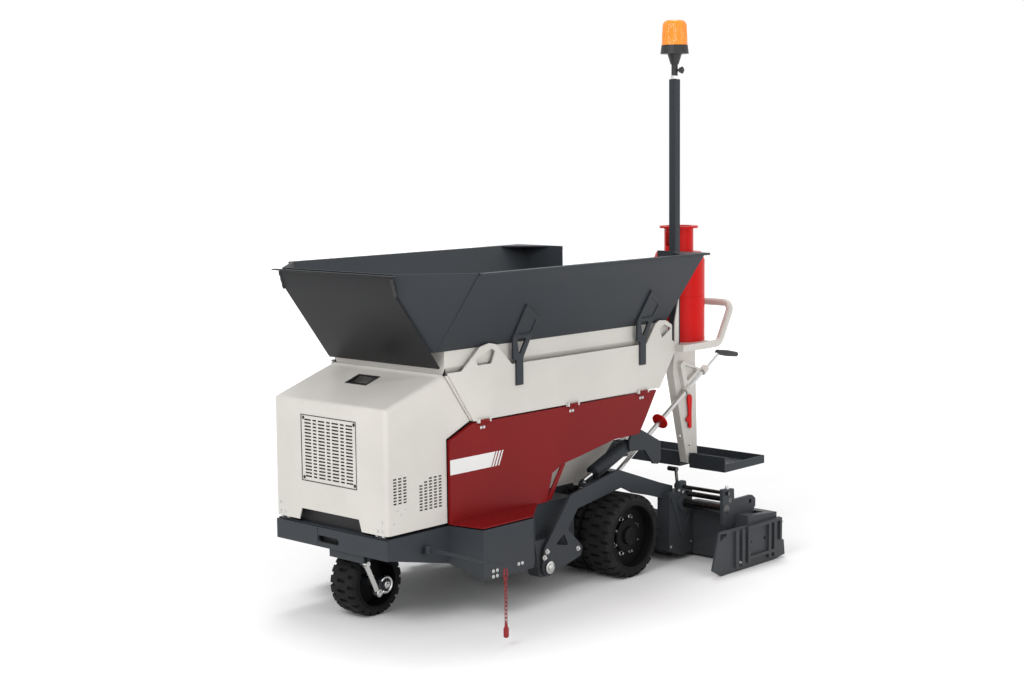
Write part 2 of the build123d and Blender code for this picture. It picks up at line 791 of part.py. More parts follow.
# Grilles: a plate let into the hood's front, with rows of wide and narrow slots in turn, and the side vents
with BuildPart() as hood_grille:
    with BuildSketch(Plane.YZ.offset(nose_x - hood_skin / 2)):
        with Locations((0, grille_z)):
            Rectangle(grille_w, grille_h)
        across = -(4 * wide_slot + 3 * narrow_slot + 6 * slot_gap) / 2
        for number in range(7):
            width = narrow_slot if number % 2 else wide_slot
            with Locations((across + width / 2, grille_z)):
                with GridLocations(0, grille_pitch, 1, grille_rows):
                    Rectangle(width, slot_h, mode=Mode.SUBTRACT)
            across += width + slot_gap
    extrude(amount=hood_skin / 2)
    # The side vents are slotted plates that fill their windows; the large field has clipped upper corners.
    for _, side in SIDES:
        with BuildSketch(Plane.XZ.offset(-outward(side, body_half - hood_skin, hood_skin))):
            for vent_x, vent_z, vent_l, vent_tall in vent_fields:
                with Locations((vent_x, vent_z)):
                    Rectangle(vent_l, vent_tall)
            small_x, small_z = vent_fields[0][:2]
            large_x, large_z = vent_fields[1][:2]
            with Locations((small_x, small_z)):
                with GridLocations(vent_col, vent_row, 3, 9):
                    Rectangle(vent_slot_w, slot_h, mode=Mode.SUBTRACT)
            for row in range(11):
                clipped = max(0, row - 8)
                with Locations((large_x - clipped * vent_col / 2, large_z + (row - 5) * vent_row)):
                    with GridLocations(vent_col, 0, 5 - clipped, 1):
                        Rectangle(vent_slot_w, slot_h, mode=Mode.SUBTRACT)
        extrude(amount=-hood_skin)
hood_grille.part.label = "hood_grille"
export_step(hood_grille.part, "parts/hood_grille.step")

# Doors: a pan with a folded edge, hung from its top, with a foot that covers the knee box
door_outline = [
    (hood_wedge_x - seam_gap, door_top_z),
    (hood_seam_x - seam_gap, hood_shoulder_z - seam_gap),
    (hood_seam_x - seam_gap, deck_z + door_gap),
    (axle_x + 336, deck_z + door_gap),
    (axle_x + 305, 416),
    (axle_x + 251, 440),
    (axle_x + 155, 455),
    (axle_x - 37, 489),
    (axle_x - 183, 491),
    (axle_x - 222, 545),
    (axle_x - 288, door_top_z),
]
door_out_y = panel_half - panel_t + door_skin
for hand, side in SIDES:
    with BuildPart() as door:
        pan_t = door_skin + door_flange
        side_profile(door_outline, outward(side, door_out_y - pan_t, pan_t), pan_t)
        with BuildSketch(Plane.XZ.offset(-outward(side, door_out_y - pan_t - 1, door_flange + 1))):
            with BuildLine():
                Polyline(*door_outline, close=True)
            make_face()
            offset(amount=-door_skin, kind=Kind.INTERSECTION, mode=Mode.REPLACE)
        extrude(amount=-door_flange - 1, mode=Mode.SUBTRACT)
        with BuildSketch(Plane.XY.offset(deck_z + door_gap)):
            with BuildLine():
                Polyline(
                    (hood_seam_x - seam_gap, side * (panel_half - panel_t)),
                    (knee_x, side * box_half),
                    (box_rear_x, side * box_half),
                    (waist_x, side * (panel_half - panel_t)),
                    close=True,
                )
            make_face()
        extrude(amount=door_skin)
        for hinge_x in hinge_xs:
            with Locations((hinge_x, side * hinge_y, hinge_z)):
                Cylinder(hinge_r, hinge_l, rotation=(0, 90, 0))
                with Locations((0, -side * (hinge_y - panel_half + panel_t) / 2, -hinge_r - 2)):
                    Box(hinge_l, hinge_y - panel_half + panel_t, 5)
                Cylinder(hinge_pin_r + running, hinge_l, rotation=(0, 90, 0), mode=Mode.SUBTRACT)
    door.part.label = f"door_{hand}"
    export_step(door.part, f"parts/door_{hand}.step")

# Front wheel and its swivelling yoke, with a stay and a ring on the outer end of the axle
wheel_in_y = front_wheel_y - front_tyre_w / 2
wheel_out_y = front_wheel_y + front_tyre_w / 2
with BuildPart() as front_yoke:
    head_in_y = wheel_in_y - 22
    head_out_y = wheel_out_y + 20
    with Locations((front_x, 0, yoke_top_z + plate)):
        Cylinder(kingpin_r, deck_z - yoke_top_z - plate, align=(Align.CENTER, Align.CENTER, Align.MIN))
    with Locations((front_x, (head_in_y + head_out_y) / 2, yoke_top_z + plate)):
        Box(110, head_out_y - head_in_y, 2 * plate)
    inner_arm = [
        (front_x - 35, yoke_top_z + plate),
        (front_x + 35, yoke_top_z + plate),
        (front_x + 35, front_wheel_r, 30),
        (front_x + 20, front_wheel_r - 30, 14),
        (front_x - 20, front_wheel_r - 30, 14),
        (front_x - 35, front_wheel_r, 30),
    ]
    side_profile(inner_arm, head_in_y, 2 * plate)
    outer_cheek = [
        (front_x - 20, yoke_top_z + plate),
        (front_x + 55, yoke_top_z + plate),
        (front_x + 60, apron_z - 5),
        (front_x + 90, apron_z - 7, 7),
        (front_x + 90, 190, 7),
        (front_x + 62, 190, 8),
        (front_x + 30, 225),
    ]
    side_profile(outer_cheek, head_out_y - 8, 8)
    cross_bar(front_x, front_wheel_r, head_in_y, head_out_y + 26, front_axle_r)
    cross_bar(front_x, front_wheel_r, head_out_y + 6, head_out_y + 16, front_axle_r + 11)
    stay_top = (front_x + 78, head_out_y + 10, apron_z - 15)
    stay_low = (front_x + 30, head_out_y + 10, front_wheel_r - 24)
    bar(stay_top, stay_low, 9)
    cross_bar(stay_top[0], stay_top[2], head_out_y - 2, head_out_y + 20, 8)
front_yoke.part.label = "front_yoke"
export_step(front_yoke.part, "parts/front_yoke.step")


def wheel_ring(x, z, low_y, width, outer, inner):
    """A ring round a wheel's axle, from low_y towards +Y."""
    cross_bar(x, z, low_y, low_y + width, outer)
    cross_bar(x, z, low_y, low_y + width, inner, Mode.SUBTRACT)


with BuildPart() as front_tyre:
    wheel_ring(front_x, front_wheel_r, wheel_in_y, front_tyre_w, front_wheel_r, front_rim_r)
front_tyre.part.label = "front_tyre"
export_step(front_tyre.part, "parts/front_tyre.step")

with BuildPart() as front_rim:
    wheel_ring(front_x, front_wheel_r, wheel_in_y, front_tyre_w, front_rim_r, front_rim_r - rim_t)
    web_low_y = wheel_in_y + 36
    wheel_ring(front_x, front_wheel_r, web_low_y, 2 * rim_t, front_rim_r - rim_t / 2, front_axle_r + running)
front_rim.part.label = "front_rim"
export_step(front_rim.part, "parts/front_rim.step")

# Rear wheels: twin tyres on one rim each side, on a through axle
with BuildPart() as rear_axle:
    axle_half = rear_outer_y - rim_depth + hub_t
    cross_bar(axle_x, rear_wheel_r, -axle_half, axle_half, axle_r)
rear_axle.part.label = "rear_axle"
export_step(rear_axle.part, "parts/rear_axle.step")

rear_inner_y = rear_outer_y - 2 * tyre_w - tyre_gap
for hand, side in SIDES:
    with BuildPart() as rear_tyres:
        for inner_y in (rear_inner_y, rear_outer_y - tyre_w):
            low_y = outward(side, inner_y, tyre_w)
            wheel_ring(axle_x, rear_wheel_r, low_y, tyre_w, rear_wheel_r, rear_rim_r)
    rear_tyres.part.label = f"rear_tyres_{hand}"
    export_step(rear_tyres.part, f"parts/rear_tyres_{hand}.step")
    with BuildPart() as rear_rim:
        width = rear_outer_y - rear_inner_y
        low_y = outward(side, rear_inner_y, width)
        wheel_ring(axle_x, rear_wheel_r, low_y, width, rear_rim_r, rear_rim_r - rim_t)
        web_y = rear_outer_y - rim_depth
        web_low_y = outward(side, web_y - 2 * rim_t, 2 * rim_t)
        wheel_ring(axle_x, rear_wheel_r, web_low_y, 2 * rim_t, rear_rim_r - rim_t / 2, axle_r + running)
        hub_low_y = outward(side, web_y, hub_t - 2)
        wheel_ring(axle_x, rear_wheel_r, hub_low_y, hub_t - 2, hub_r, axle_r + running)
    rear_rim.part.label = f"rear_rim_{hand}"
    export_step(rear_rim.part, f"parts/rear_rim_{hand}.step")

# Tow arms: arched over the wheels from the front pin to the screed
arm_outline = from_axle([
    (-318, 262),
    (-318, 281),
    (-240, 305),
    (1, 389, 14),
    (267, 337, 14),
    (409, 170, 20),
    (418, 92, 20),
    (390, 68, 14),
    (215, 112),
    (205, 140, 8),
    (222, 160),
    (285, 218, 10),
    (230, 284, 10),
    (-15, 321),
    (-81, 290),
    (-183, 264),
    (-262, 240),
    (-318, 180),
])
arm_hole = from_axle([(352, 175, 5), (305, 205, 5), (280, 160, 5)])
lift_pin_in_y = lift_y - 14
for hand, side in SIDES:
    with BuildPart() as tow_arm:
        arm_low_y = outward(side, arm_in_y, arm_t)
        side_profile(arm_outline, arm_low_y, arm_t)
        side_profile(arm_hole, arm_low_y, arm_t, Mode.SUBTRACT)
        cross_bar(pin_x, pin_z, arm_low_y, arm_low_y + arm_t, pin_r + running, Mode.SUBTRACT)
        cross_bar(lift_eye_x, lift_eye_z, side * lift_pin_in_y, side * (arm_in_y + arm_t / 2), lift_pin_r)
    tow_arm.part.label = f"tow_arm_{hand}"
    export_step(tow_arm.part, f"parts/tow_arm_{hand}.step")

# Screed body: a beam on its screed plate, with an upright stiffening rib by each bracket
beam = from_axle([(-262, 45), (-330, 6), (-392, 6), (-392, 160), (-320, 180), (-262, 160)])
with BuildPart() as screed_body:
    side_profile(beam, -bracket_in_y, 2 * bracket_in_y)
screed_body.part.label = "screed_body"
export_step(screed_body.part, "parts/screed_body.step")

# Screed brackets: boxes that hold the tow arms' rear ends and guide the extension tubes
bracket = from_axle([(-254, 45), (-330, 14), (-395, 22), (-395, 262), (-254, 262)])
tower = from_axle([
    (-395, 250),
    (-395, 270, 8),
    (-360, 270),
    (-356, 300, 8),
    (-318, 300, 8),
    (-306, 262),
    (-306, 250),
])
guide_places = ((tube_x, tube_z, tube_r), (side_tube_x, side_tube_z, side_tube_r))
brace = from_axle([(-258, 246), (-330, 70, 10), (-384, 182, 6), (-366, 176), (-331, 104, 6), (-282, 246)])
for hand, side in SIDES:
    with BuildPart() as screed_bracket:
        bracket_w = bracket_out_y - bracket_in_y
        side_profile(bracket, outward(side, bracket_in_y, bracket_w), bracket_w)
        side_profile(arm_outline, outward(side, arm_in_y, arm_t), arm_t, Mode.SUBTRACT)
        side_profile(tower, outward(side, bracket_out_y - tower_t, tower_t), tower_t)
        side_profile(brace, outward(side, bracket_out_y, plate), plate)
        cross_bar(tube_x, tube_z, side * bracket_out_y, side * (bracket_out_y + 8), disc_r)
        for x, z, r in (*guide_places, (tube_x, spindle_z, spindle_r)):
            cross_bar(x, z, side * (bracket_in_y - 1), side * (bracket_out_y + 9), r + running, Mode.SUBTRACT)
    screed_bracket.part.label = f"screed_bracket_{hand}"
    export_step(screed_bracket.part, f"parts/screed_bracket_{hand}.step")

# Crank spindles: a screw through each bracket and its post, with an upright crank and a grip
with BuildPart() as crank_spindles:
    for _, side in SIDES:
        cross_bar(tube_x, spindle_z, side * spindle_in_y, side * spindle_out_y, spindle_r)
        arm_foot = (tube_x, side * spindle_in_y, spindle_z)
        arm_head = (tube_x, side * (spindle_in_y - 7), spindle_z + crank_arm_h)
        cross_bar(tube_x, spindle_z, side * (spindle_in_y - 5), side * (spindle_in_y + 6), 2 * spindle_r)
        bar(arm_foot, arm_head, spindle_r - 1)
        grip_in_y = spindle_in_y - crank_grip_l
        cross_bar(tube_x, arm_head[2], side * (spindle_in_y - 1), side * grip_in_y, spindle_r + 2)
crank_spindles.part.label = "crank_spindles"
export_step(crank_spindles.part, "parts/crank_spindles.step")

# Extensions: a box with a lifting slot, two guide tubes and an end plate each side
extension_profile = from_axle([(-400, 12), (-580, 4), (-580, 178), (-395, 192), (-395, 150)])
post = from_axle([
    (-360, 133, 6),
    (-322, 160),
    (-314, 296, 5),
    (-386, 290, 5),
    (-388, 247),
    (-503, 247, 12),
    (-524, 232, 12),
    (-524, 204),
    (-500, 176),
    (-410, 176),
])
end_outline = from_axle([
    (-164, 29),
    (-204, 164, 6),
    (-534, 158),
    (-592, 158),
    (-592, 72),
    (-617, 66, 5),
    (-625, 9),
    (-560, 0),
    (-217, 0, 20),
])
end_window = from_axle([(-211, 157, 4), (-262, 151, 4), (-205, 126, 4)])
end_ribs = [
    (-303, 15, 17, 152),
    (-342, 15, 17, 152),
    (-379, 14, 22, 157),
    (-466, 160, 33, 45),
    (-486, 200, 147, 157),
    (-512, 14, 17, 157),
    (-548, 15, 17, 157),
    (-585, 12, 73, 157),
]
for hand, side in SIDES:
    with BuildPart() as extension_box:
        box_l = end_plate_y - extension_in_y
        side_profile(extension_profile, outward(side, extension_in_y, box_l), box_l)
        slot_y = side * (end_plate_y - 48)
        with Locations((axle_x - 500, slot_y, 130)):
            Box(66, 44, 130, mode=Mode.SUBTRACT)
        side_profile(post, outward(side, post_y, post_t), post_t)
        for x, z, r in (*guide_places, (tube_x, spindle_z, spindle_r + running), (axle_x - 490, 225, 9)):
            cross_bar(x, z, side * post_y, side * (post_y + post_t), r, Mode.SUBTRACT)
    extension_box.part.label = f"extension_box_{hand}"
    export_step(extension_box.part, f"parts/extension_box_{hand}.step")
    with BuildPart() as guide_tubes:
        for x, z, r in guide_places:
            cross_bar(x, z, side * tube_in_y, side * (post_y + post_t), r)
    guide_tubes.part.label = f"guide_tubes_{hand}"
    export_step(guide_tubes.part, f"parts/guide_tubes_{hand}.step")
    with BuildPart() as end_plate:
        low_y = outward(side, end_plate_y, end_plate_t)
        side_profile(end_outline, low_y, end_plate_t)
        side_profile(end_window, low_y, end_plate_t, Mode.SUBTRACT)
        for ahead, length, low_z, high_z in end_ribs:
            rib_y = side * (end_plate_y + end_plate_t + end_rib_t / 2)
            with Locations((axle_x + ahead, rib_y, (low_z + high_z) / 2)):
                Box(length, end_rib_t, high_z - low_z)
        for end in (1, -1):
            hole_x = end_hole_x + end * end_hole_pitch / 2
            cross_bar(hole_x, end_hole_z, low_y, low_y + end_plate_t, end_hole_r, Mode.SUBTRACT)
    end_plate.part.label = f"end_plate_{hand}"
    export_step(end_plate.part, f"parts/end_plate_{hand}.step")

# Rear console: a tray behind the hopper with an upright cheek each side, and its handle
with BuildPart() as rear_console:
    with Locations(((tray_front_x + tray_rear_x) / 2, 0, tray_z - tray_t / 2)):
        Box(tray_front_x - tray_rear_x, 2 * tray_half, tray_t)
    cheek = [
        (tray_front_x, tray_z - 1),
        (tray_front_x, hopper_low_z - 5),
        (tray_front_x - 24, cheek_top_z),
        (tray_front_x - 24, tray_z - 1),
    ]
    for _, side in SIDES:
        side_profile(cheek, outward(side, panel_half - panel_t, panel_t), panel_t)
rear_console.part.label = "rear_console"
export_step(rear_console.part, "parts/rear_console.step")

with BuildPart() as push_handle:
    with BuildLine() as handle_path:
        end_y = tray_half - handle_r
        FilletPolyline(
            (tray_rear_x, end_y, tray_z - handle_r),
            (tray_rear_x - handle_run, end_y, tray_z - handle_r),
            (handle_rear_x, end_y, handle_z),
            (handle_rear_x, -end_y, handle_z),
            (tray_rear_x - handle_run, -end_y, tray_z - handle_r),
            (tray_rear_x, -end_y, tray_z - handle_r),
            radius=handle_bend,
        )
    with BuildSketch(Plane(origin=handle_path.line @ 0, z_dir=handle_path.line % 0)):
        Circle(handle_r)
    sweep()
push_handle.part.label = "push_handle"
export_step(push_handle.part, "parts/push_handle.step")

# Gas bottle with its collar, which has a window on each side
with BuildPart() as gas_bottle:
    with BuildSketch(Plane.XZ):
        with BuildLine():
            Polyline(
                (0, bottle_low_z),
                (bottle_r, bottle_low_z),
                (bottle_r, bottle_top_z - 30),
                (bottle_r - 14, bottle_top_z),
                (collar_r, bottle_top_z),
                (collar_r, collar_top_z - 8),
                (collar_r + collar_lip, collar_top_z - 8),
                (collar_r + collar_lip, collar_top_z),
                (collar_r - collar_wall, collar_top_z),
                (collar_r - collar_wall, bottle_top_z),
                (0, bottle_top_z),
                close=True,
            )
        make_face()
    revolve(axis=Axis.Z)
    with Locations((0, 0, (bottle_top_z + collar_top_z) / 2)):
        Box(3 * collar_r, window_w, window_h, mode=Mode.SUBTRACT)
gas_bottle.part = gas_bottle.part.moved(Location((bottle_x, bottle_y, 0)))
gas_bottle.part.label = "gas_bottle"
export_step(gas_bottle.part, "parts/gas_bottle.step")

# Beacon on its mast
with BuildPart() as beacon_mast:
    with Locations((mast_x, mast_y, (tray_z + mast_top_z) / 2)):
        Box(mast_w, mast_w, mast_top_z - tray_z)
beacon_mast.part.label = "beacon_mast"
export_step(beacon_mast.part, "parts/beacon_mast.step")

lens_low_z = beacon_z - lens_h
with BuildPart() as beacon_base:
    with BuildSketch(Plane.XZ):
        with BuildLine():
            Polyline(
                (0, mast_top_z),
                (12, mast_top_z),
                (12, mast_top_z + stem_h),
                (15, mast_top_z + stem_h),
                (27, lens_low_z - skirt_h),
                (lens_r + 4, lens_low_z - skirt_h),
                (lens_r, lens_low_z),
                (0, lens_low_z),
                close=True,
            )
        make_face()
    revolve(axis=Axis.Z)
beacon_base.part = beacon_base.part.moved(Location((mast_x, mast_y, 0)))
beacon_base.part.label = "beacon_base"
export_step(beacon_base.part, "parts/beacon_base.step")

with BuildPart() as beacon_lens:
    with BuildSketch(Plane.XZ):
        with BuildLine():
            Polyline(
                (0, lens_low_z),
                (lens_r - 1, lens_low_z),
                (lens_r - 5, beacon_z - 13),
                (lens_r - 16, beacon_z),
                (0, beacon_z),
                close=True,
            )
        make_face()
    revolve(axis=Axis.Z)
beacon_lens.part = beacon_lens.part.moved(Location((mast_x, mast_y, 0)))
beacon_lens.part.label = "beacon_lens"
export_step(beacon_lens.part, "parts/beacon_lens.step")

# Legs from the console down to the footboard, with a bracket that guides the crank rod
leg_outline = [
    (axle_x - 560, tray_z - tray_t),
    (axle_x - 690, tray_z - tray_t),
    (axle_x - 704, 330),
    (board_pivot_x, board_pivot_z + 14),
    (board_pivot_x, board_pivot_z - 14),
    (axle_x - 640, 300),
    (axle_x - 548, 665, 16),
    (axle_x - 548, 700, 16),
]
crank_way = Vector(crank_high_x - crank_low_x, 0, crank_high_z - crank_low_z).normalized()
for hand, side in SIDES:
    crank_low = Vector(crank_low_x, side * crank_y, crank_low_z)
    crank_high = Vector(crank_high_x, side * crank_y, crank_high_z)
    with BuildPart() as platform_leg:
        leg_out_y = leg_y + leg_w / 2
        side_profile(leg_outline, side * leg_y - leg_w / 2, leg_w)
        cross_bar(board_pivot_x, board_pivot_z, side * (leg_y - leg_w / 2), side * leg_out_y, 14)
        cross_bar(
            board_pivot_x,
            board_pivot_z,
            side * (leg_y - leg_w / 2 - 1),
            side * (leg_out_y + 1),
            board_pin_r + running,
            Mode.SUBTRACT,
        )
        collar_low = crank_low + crank_way * collar_at[0]
        collar_high = crank_low + crank_way * collar_at[1]
        gusset = [
            (collar_low.X + 10, collar_low.Z),
            (collar_high.X, collar_high.Z, 6),
            (axle_x - 590, 715, 14),
            (axle_x - 572, 700, 14),
        ]
        gusset_t = crank_y - leg_out_y
        side_profile(gusset, outward(side, leg_out_y, gusset_t), gusset_t)
        gusset_hole = [
            (collar_low.X - 4, collar_low.Z + 32, 5),
            (collar_high.X + 34, collar_high.Z + 6, 5),
            (axle_x - 601, 697, 5),
        ]
        side_profile(gusset_hole, outward(side, leg_out_y, gusset_t), gusset_t, Mode.SUBTRACT)
        for collar in (collar_low, collar_high):
            bar(collar - crank_way * 14, collar + crank_way * 14, crank_r + 7)
        bar(crank_low, crank_high, crank_r, Mode.SUBTRACT)
    platform_leg.part.label = f"platform_leg_{hand}"
    export_step(platform_leg.part, f"parts/platform_leg_{hand}.step")

# Footboard: a tray with a higher front wall, which folds up about the legs' lower ends
knuckle = [
    (board_front_x, board_low_z),
    (board_front_x, board_front_z - 14, 10),
    (board_front_x - 24, board_front_z - 2, 10),
    (board_pivot_x - 4, board_pivot_z + 26, 14),
    (board_pivot_x - 24, board_pivot_z, 14),
    (board_pivot_x - 24, board_low_z),
]
with BuildPart() as footboard:
    board_mid_x = (board_front_x + board_rear_x) / 2
    board_l = board_front_x - board_rear_x
    board_h = board_top_z - board_low_z
    with Locations((board_mid_x, 0, (board_low_z + board_top_z) / 2)):
        Box(board_l, 2 * board_half, board_h)
        with Locations((0, 0, board_t)):
            Box(board_l - 2 * board_t, 2 * (board_half - board_t), board_h, mode=Mode.SUBTRACT)
    with Locations((board_front_x - board_t / 2, 0, (board_low_z + board_front_z) / 2)):
        Box(board_t, 2 * board_half, board_front_z - board_low_z)
    for _, side in SIDES:
        gap_l = 2 * (board_front_x - board_pivot_x) + 2
        with Locations((board_pivot_x, side * leg_y, board_pivot_z)):
            Box(gap_l, leg_w + 12, 4 * board_t + 80, mode=Mode.SUBTRACT)
        for step in (1, -1):
            plate_y = side * leg_y + step * (leg_w / 2 + 10)
            side_profile(knuckle, plate_y - board_t, 2 * board_t)
        cross_bar(
            board_pivot_x,
            board_pivot_z,
            side * leg_y - leg_w / 2 - 10,
            side * leg_y + leg_w / 2 + 10,
            board_pin_r,
        )
footboard.part.label = "footboard"
export_step(footboard.part, "parts/footboard.step")

# Crank rods, with a grip and a depth disc on each
with BuildPart() as crank_rods:
    for _, side in SIDES:
        bar((crank_low_x, side * crank_y, crank_low_z), (crank_high_x, side * crank_y, crank_high_z), crank_r)
crank_rods.part.label = "crank_rods"
export_step(crank_rods.part, "parts/crank_rods.step")

with BuildPart() as crank_grips:
    for _, side in SIDES:
        crank_low = Vector(crank_low_x, side * crank_y, crank_low_z)
        crank_high = Vector(crank_high_x, side * crank_y, crank_high_z)
        bar(crank_high + Vector(6, 0, 10), crank_high + Vector(-140, 0, -14), 13)
        bar(crank_low, crank_high + crank_way * 4, crank_r, Mode.SUBTRACT)
crank_grips.part.label = "crank_grips"
export_step(crank_grips.part, "parts/crank_grips.step")

with BuildPart() as depth_discs:
    for _, side in SIDES:
        crank_low = Vector(crank_low_x, side * crank_y, crank_low_z)
        centre = crank_low + crank_way * disc_at
        bar(centre - crank_way * 3, centre + crank_way * 3, depth_disc_r)
        bar(crank_low, centre + crank_way * 10, crank_r, Mode.SUBTRACT)
depth_discs.part.label = "depth_discs"
export_step(depth_discs.part, "parts/depth_discs.step")

# Guide rod with its hanging chain and weight
with BuildPart() as guide_rod:
    bar((guide_x, guide_pin_y, guide_z), (guide_x, guide_tip_y, guide_z), guide_r)
    with Locations((guide_x, guide_pin_y, guide_z)):
        Cylinder(guide_pin_r + guide_r, 24)
        Cylinder(guide_pin_r + running, 24, mode=Mode.SUBTRACT)
guide_rod.part.label = "guide_rod"
export_step(guide_rod.part, "parts/guide_rod.step")

with BuildPart() as guide_chain:
    chain_y = guide_tip_y - guide_r
    chain_top_z = guide_z - guide_r
    bar((guide_x, chain_y, chain_low_z + 20), (guide_x, chain_y, chain_top_z), 4)
    bar((guide_x, chain_y, chain_low_z), (guide_x, chain_y, chain_low_z + 34), 9)
guide_chain.part.label = "guide_chain"
export_step(guide_chain.part, "parts/guide_chain.step")

# Lift cylinders: a barrel pinned to a cheek plate and a rod with its eye at the tow arm
lift_way = Vector(lift_eye_x - lift_top_x, 0, lift_eye_z - lift_top_z).normalized()
lift_plate = [
    (lift_top_x + 32, lift_top_z - 18, 12),
    (lift_top_x + 32, lift_top_z + 28, 12),
    (lift_top_x + 8, lift_top_z + 54, 10),
    (lift_top_x - 40, lift_top_z + 54, 10),
    (lift_top_x - 156, lift_top_z - 5),
    (lift_top_x - 156, lift_top_z - 75),
    (lift_top_x - 140, lift_top_z - 90),
    (lift_top_x - 110, lift_top_z - 85),
    (lift_top_x - 60, lift_top_z - 25),
]
lift_stay_x = lift_top_x - 20
lift_stay_z = lift_top_z + 40
pin_half = 12.0
for hand, side in SIDES:
    top = Vector(lift_top_x, side * lift_y, lift_top_z)
    eye = Vector(lift_eye_x, side * lift_y, lift_eye_z)
    with BuildPart() as lift_bracket:
        side_profile(lift_plate, outward(side, bracket_y - bracket_t, bracket_t), bracket_t)
        cross_bar(lift_stay_x, lift_stay_z, side * tunnel_half, side * (bracket_y - 1), 10)
        cross_bar(lift_top_x, lift_top_z, side * (lift_y - pin_half - 3), side * (bracket_y - 1), lift_pin_r)
    lift_bracket.part.label = f"lift_bracket_{hand}"
    export_step(lift_bracket.part, f"parts/lift_bracket_{hand}.step")
    with BuildPart() as lift_barrel:
        eye_half = Vector(0, pin_half, 0)
        bar(top + lift_way * 14, top + lift_way * barrel_l, barrel_r)
        bar(top - eye_half, top + eye_half, 2 * lift_pin_r)
        bar(top - eye_half, top + eye_half, lift_pin_r + running, Mode.SUBTRACT)
        bar(top + lift_way * 40, top + lift_way * (barrel_l + 1), rod_r + running, Mode.SUBTRACT)
    lift_barrel.part.label = f"lift_barrel_{hand}"
    export_step(lift_barrel.part, f"parts/lift_barrel_{hand}.step")
    with BuildPart() as lift_rod:
        bar(top + lift_way * 60, eye, rod_r)
        bar(eye - eye_half, eye + eye_half, lift_pin_r + eye_slack + 8)
        bar(eye - 1.1 * eye_half, eye + 1.1 * eye_half, lift_pin_r + eye_slack, Mode.SUBTRACT)
    lift_rod.part.label = f"lift_rod_{hand}"
    export_step(lift_rod.part, f"parts/lift_rod_{hand}.step")
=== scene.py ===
# %% [markdown]
# # A compact wheeled asphalt paver
#
# The construction comes from the frame: every plate, wheel and hinge is there at its real size.
# This lesson dresses it. Each step says what a piece or a finish is on the real machine and how
# a surface formula or a few shader nodes can make it.

import json

import bpy
import numpy as np
from mathutils import Matrix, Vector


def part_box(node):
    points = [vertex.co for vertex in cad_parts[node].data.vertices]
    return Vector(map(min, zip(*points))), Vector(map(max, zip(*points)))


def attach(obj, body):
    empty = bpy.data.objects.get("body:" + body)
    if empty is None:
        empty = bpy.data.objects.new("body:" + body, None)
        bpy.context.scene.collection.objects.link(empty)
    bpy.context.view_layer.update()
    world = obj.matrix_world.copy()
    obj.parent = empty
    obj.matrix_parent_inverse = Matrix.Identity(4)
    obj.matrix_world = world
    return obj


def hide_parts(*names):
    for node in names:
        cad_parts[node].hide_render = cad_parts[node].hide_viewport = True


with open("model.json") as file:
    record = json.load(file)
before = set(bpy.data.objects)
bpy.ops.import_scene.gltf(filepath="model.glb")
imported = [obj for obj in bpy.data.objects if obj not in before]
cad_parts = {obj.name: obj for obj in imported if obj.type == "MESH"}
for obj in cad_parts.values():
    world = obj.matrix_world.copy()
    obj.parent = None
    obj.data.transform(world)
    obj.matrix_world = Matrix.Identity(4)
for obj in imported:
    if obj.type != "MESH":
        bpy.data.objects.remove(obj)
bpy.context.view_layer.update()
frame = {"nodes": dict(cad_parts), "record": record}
nodes = frame["nodes"]

# %% [markdown]
# ## Where things are
#
# Stations along the machine are easiest to read from the rear axle, so `at` takes millimetres
# measured from there: forwards, to the left and up from the ground.

# %% Stations
axle_low, axle_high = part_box("rear_axle")
AXLE_X = (axle_low.x + axle_high.x) / 2
MM = 0.001
SIDES = (("left", 1), ("right", -1))


def at(x, y, z):
    """A point given in millimetres from the rear axle, as metres in the frame."""
    return np.array([AXLE_X + x * MM, y * MM, z * MM])


REAR_R = (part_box("rear_tyres_left")[1].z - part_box("rear_tyres_left")[0].z) / 2
FRONT_R = (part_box("front_tyre")[1].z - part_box("front_tyre")[0].z) / 2
print("rear axle at", round(AXLE_X, 3), "wheel radii", round(REAR_R, 3), round(FRONT_R, 3))

# %% [markdown]
# ## Meshes from arrays
#
# A surface is a function of two parameters. Worked out on a grid, its points are one array, and
# its faces are another that only counts rows and columns. The helpers here make such grids,
# merge several of them into one mesh and hand the finished piece to the body it rides on.

# %% Grids, tubes and copies
def grid_faces(rows, columns, closed_rows=False, closed_columns=False):
    """Quads of a grid of points numbered row by row; a closed direction joins its end to its start."""
    row = np.arange(rows if closed_rows else rows - 1)
    column = np.arange(columns if closed_columns else columns - 1)
    r, c = np.meshgrid(row, column, indexing="ij")
    r2, c2 = (r + 1) % rows, (c + 1) % columns
    corners = [r * columns + c, r * columns + c2, r2 * columns + c2, r2 * columns + c]
    return np.stack(corners, -1).reshape(-1, 4)


def end_caps(rows, columns):
    """The flat faces that close a grid of rings at its first and its last ring."""
    ring = np.arange(columns)
    return [ring[::-1][None], ((rows - 1) * columns + ring)[None]]


def face_groups(faces):
    """The face arrays of a part, each an array of faces with the same number of corners."""
    return [np.asarray(group) for group in (faces if isinstance(faces, list) else [faces])]


def join(*parts):
    """Several (points, faces) pairs as one pair; each face array keeps its own number of corners."""
    points, faces, start = [], [], 0
    for part_points, part_faces in parts:
        points.append(part_points)
        faces += [group + start for group in face_groups(part_faces)]
        start += len(part_points)
    return np.concatenate(points), faces


def axes_of(direction):
    """Three unit vectors: two across a direction and the direction itself, right-handed."""
    way = np.asarray(direction, float)
    way = way / np.linalg.norm(way)
    helper = np.array([0, 0, 1.0]) if abs(way[2]) < 0.9 else np.array([1.0, 0, 0])
    first = np.cross(helper, way)
    first = first / np.linalg.norm(first)
    return first, np.cross(way, first), way


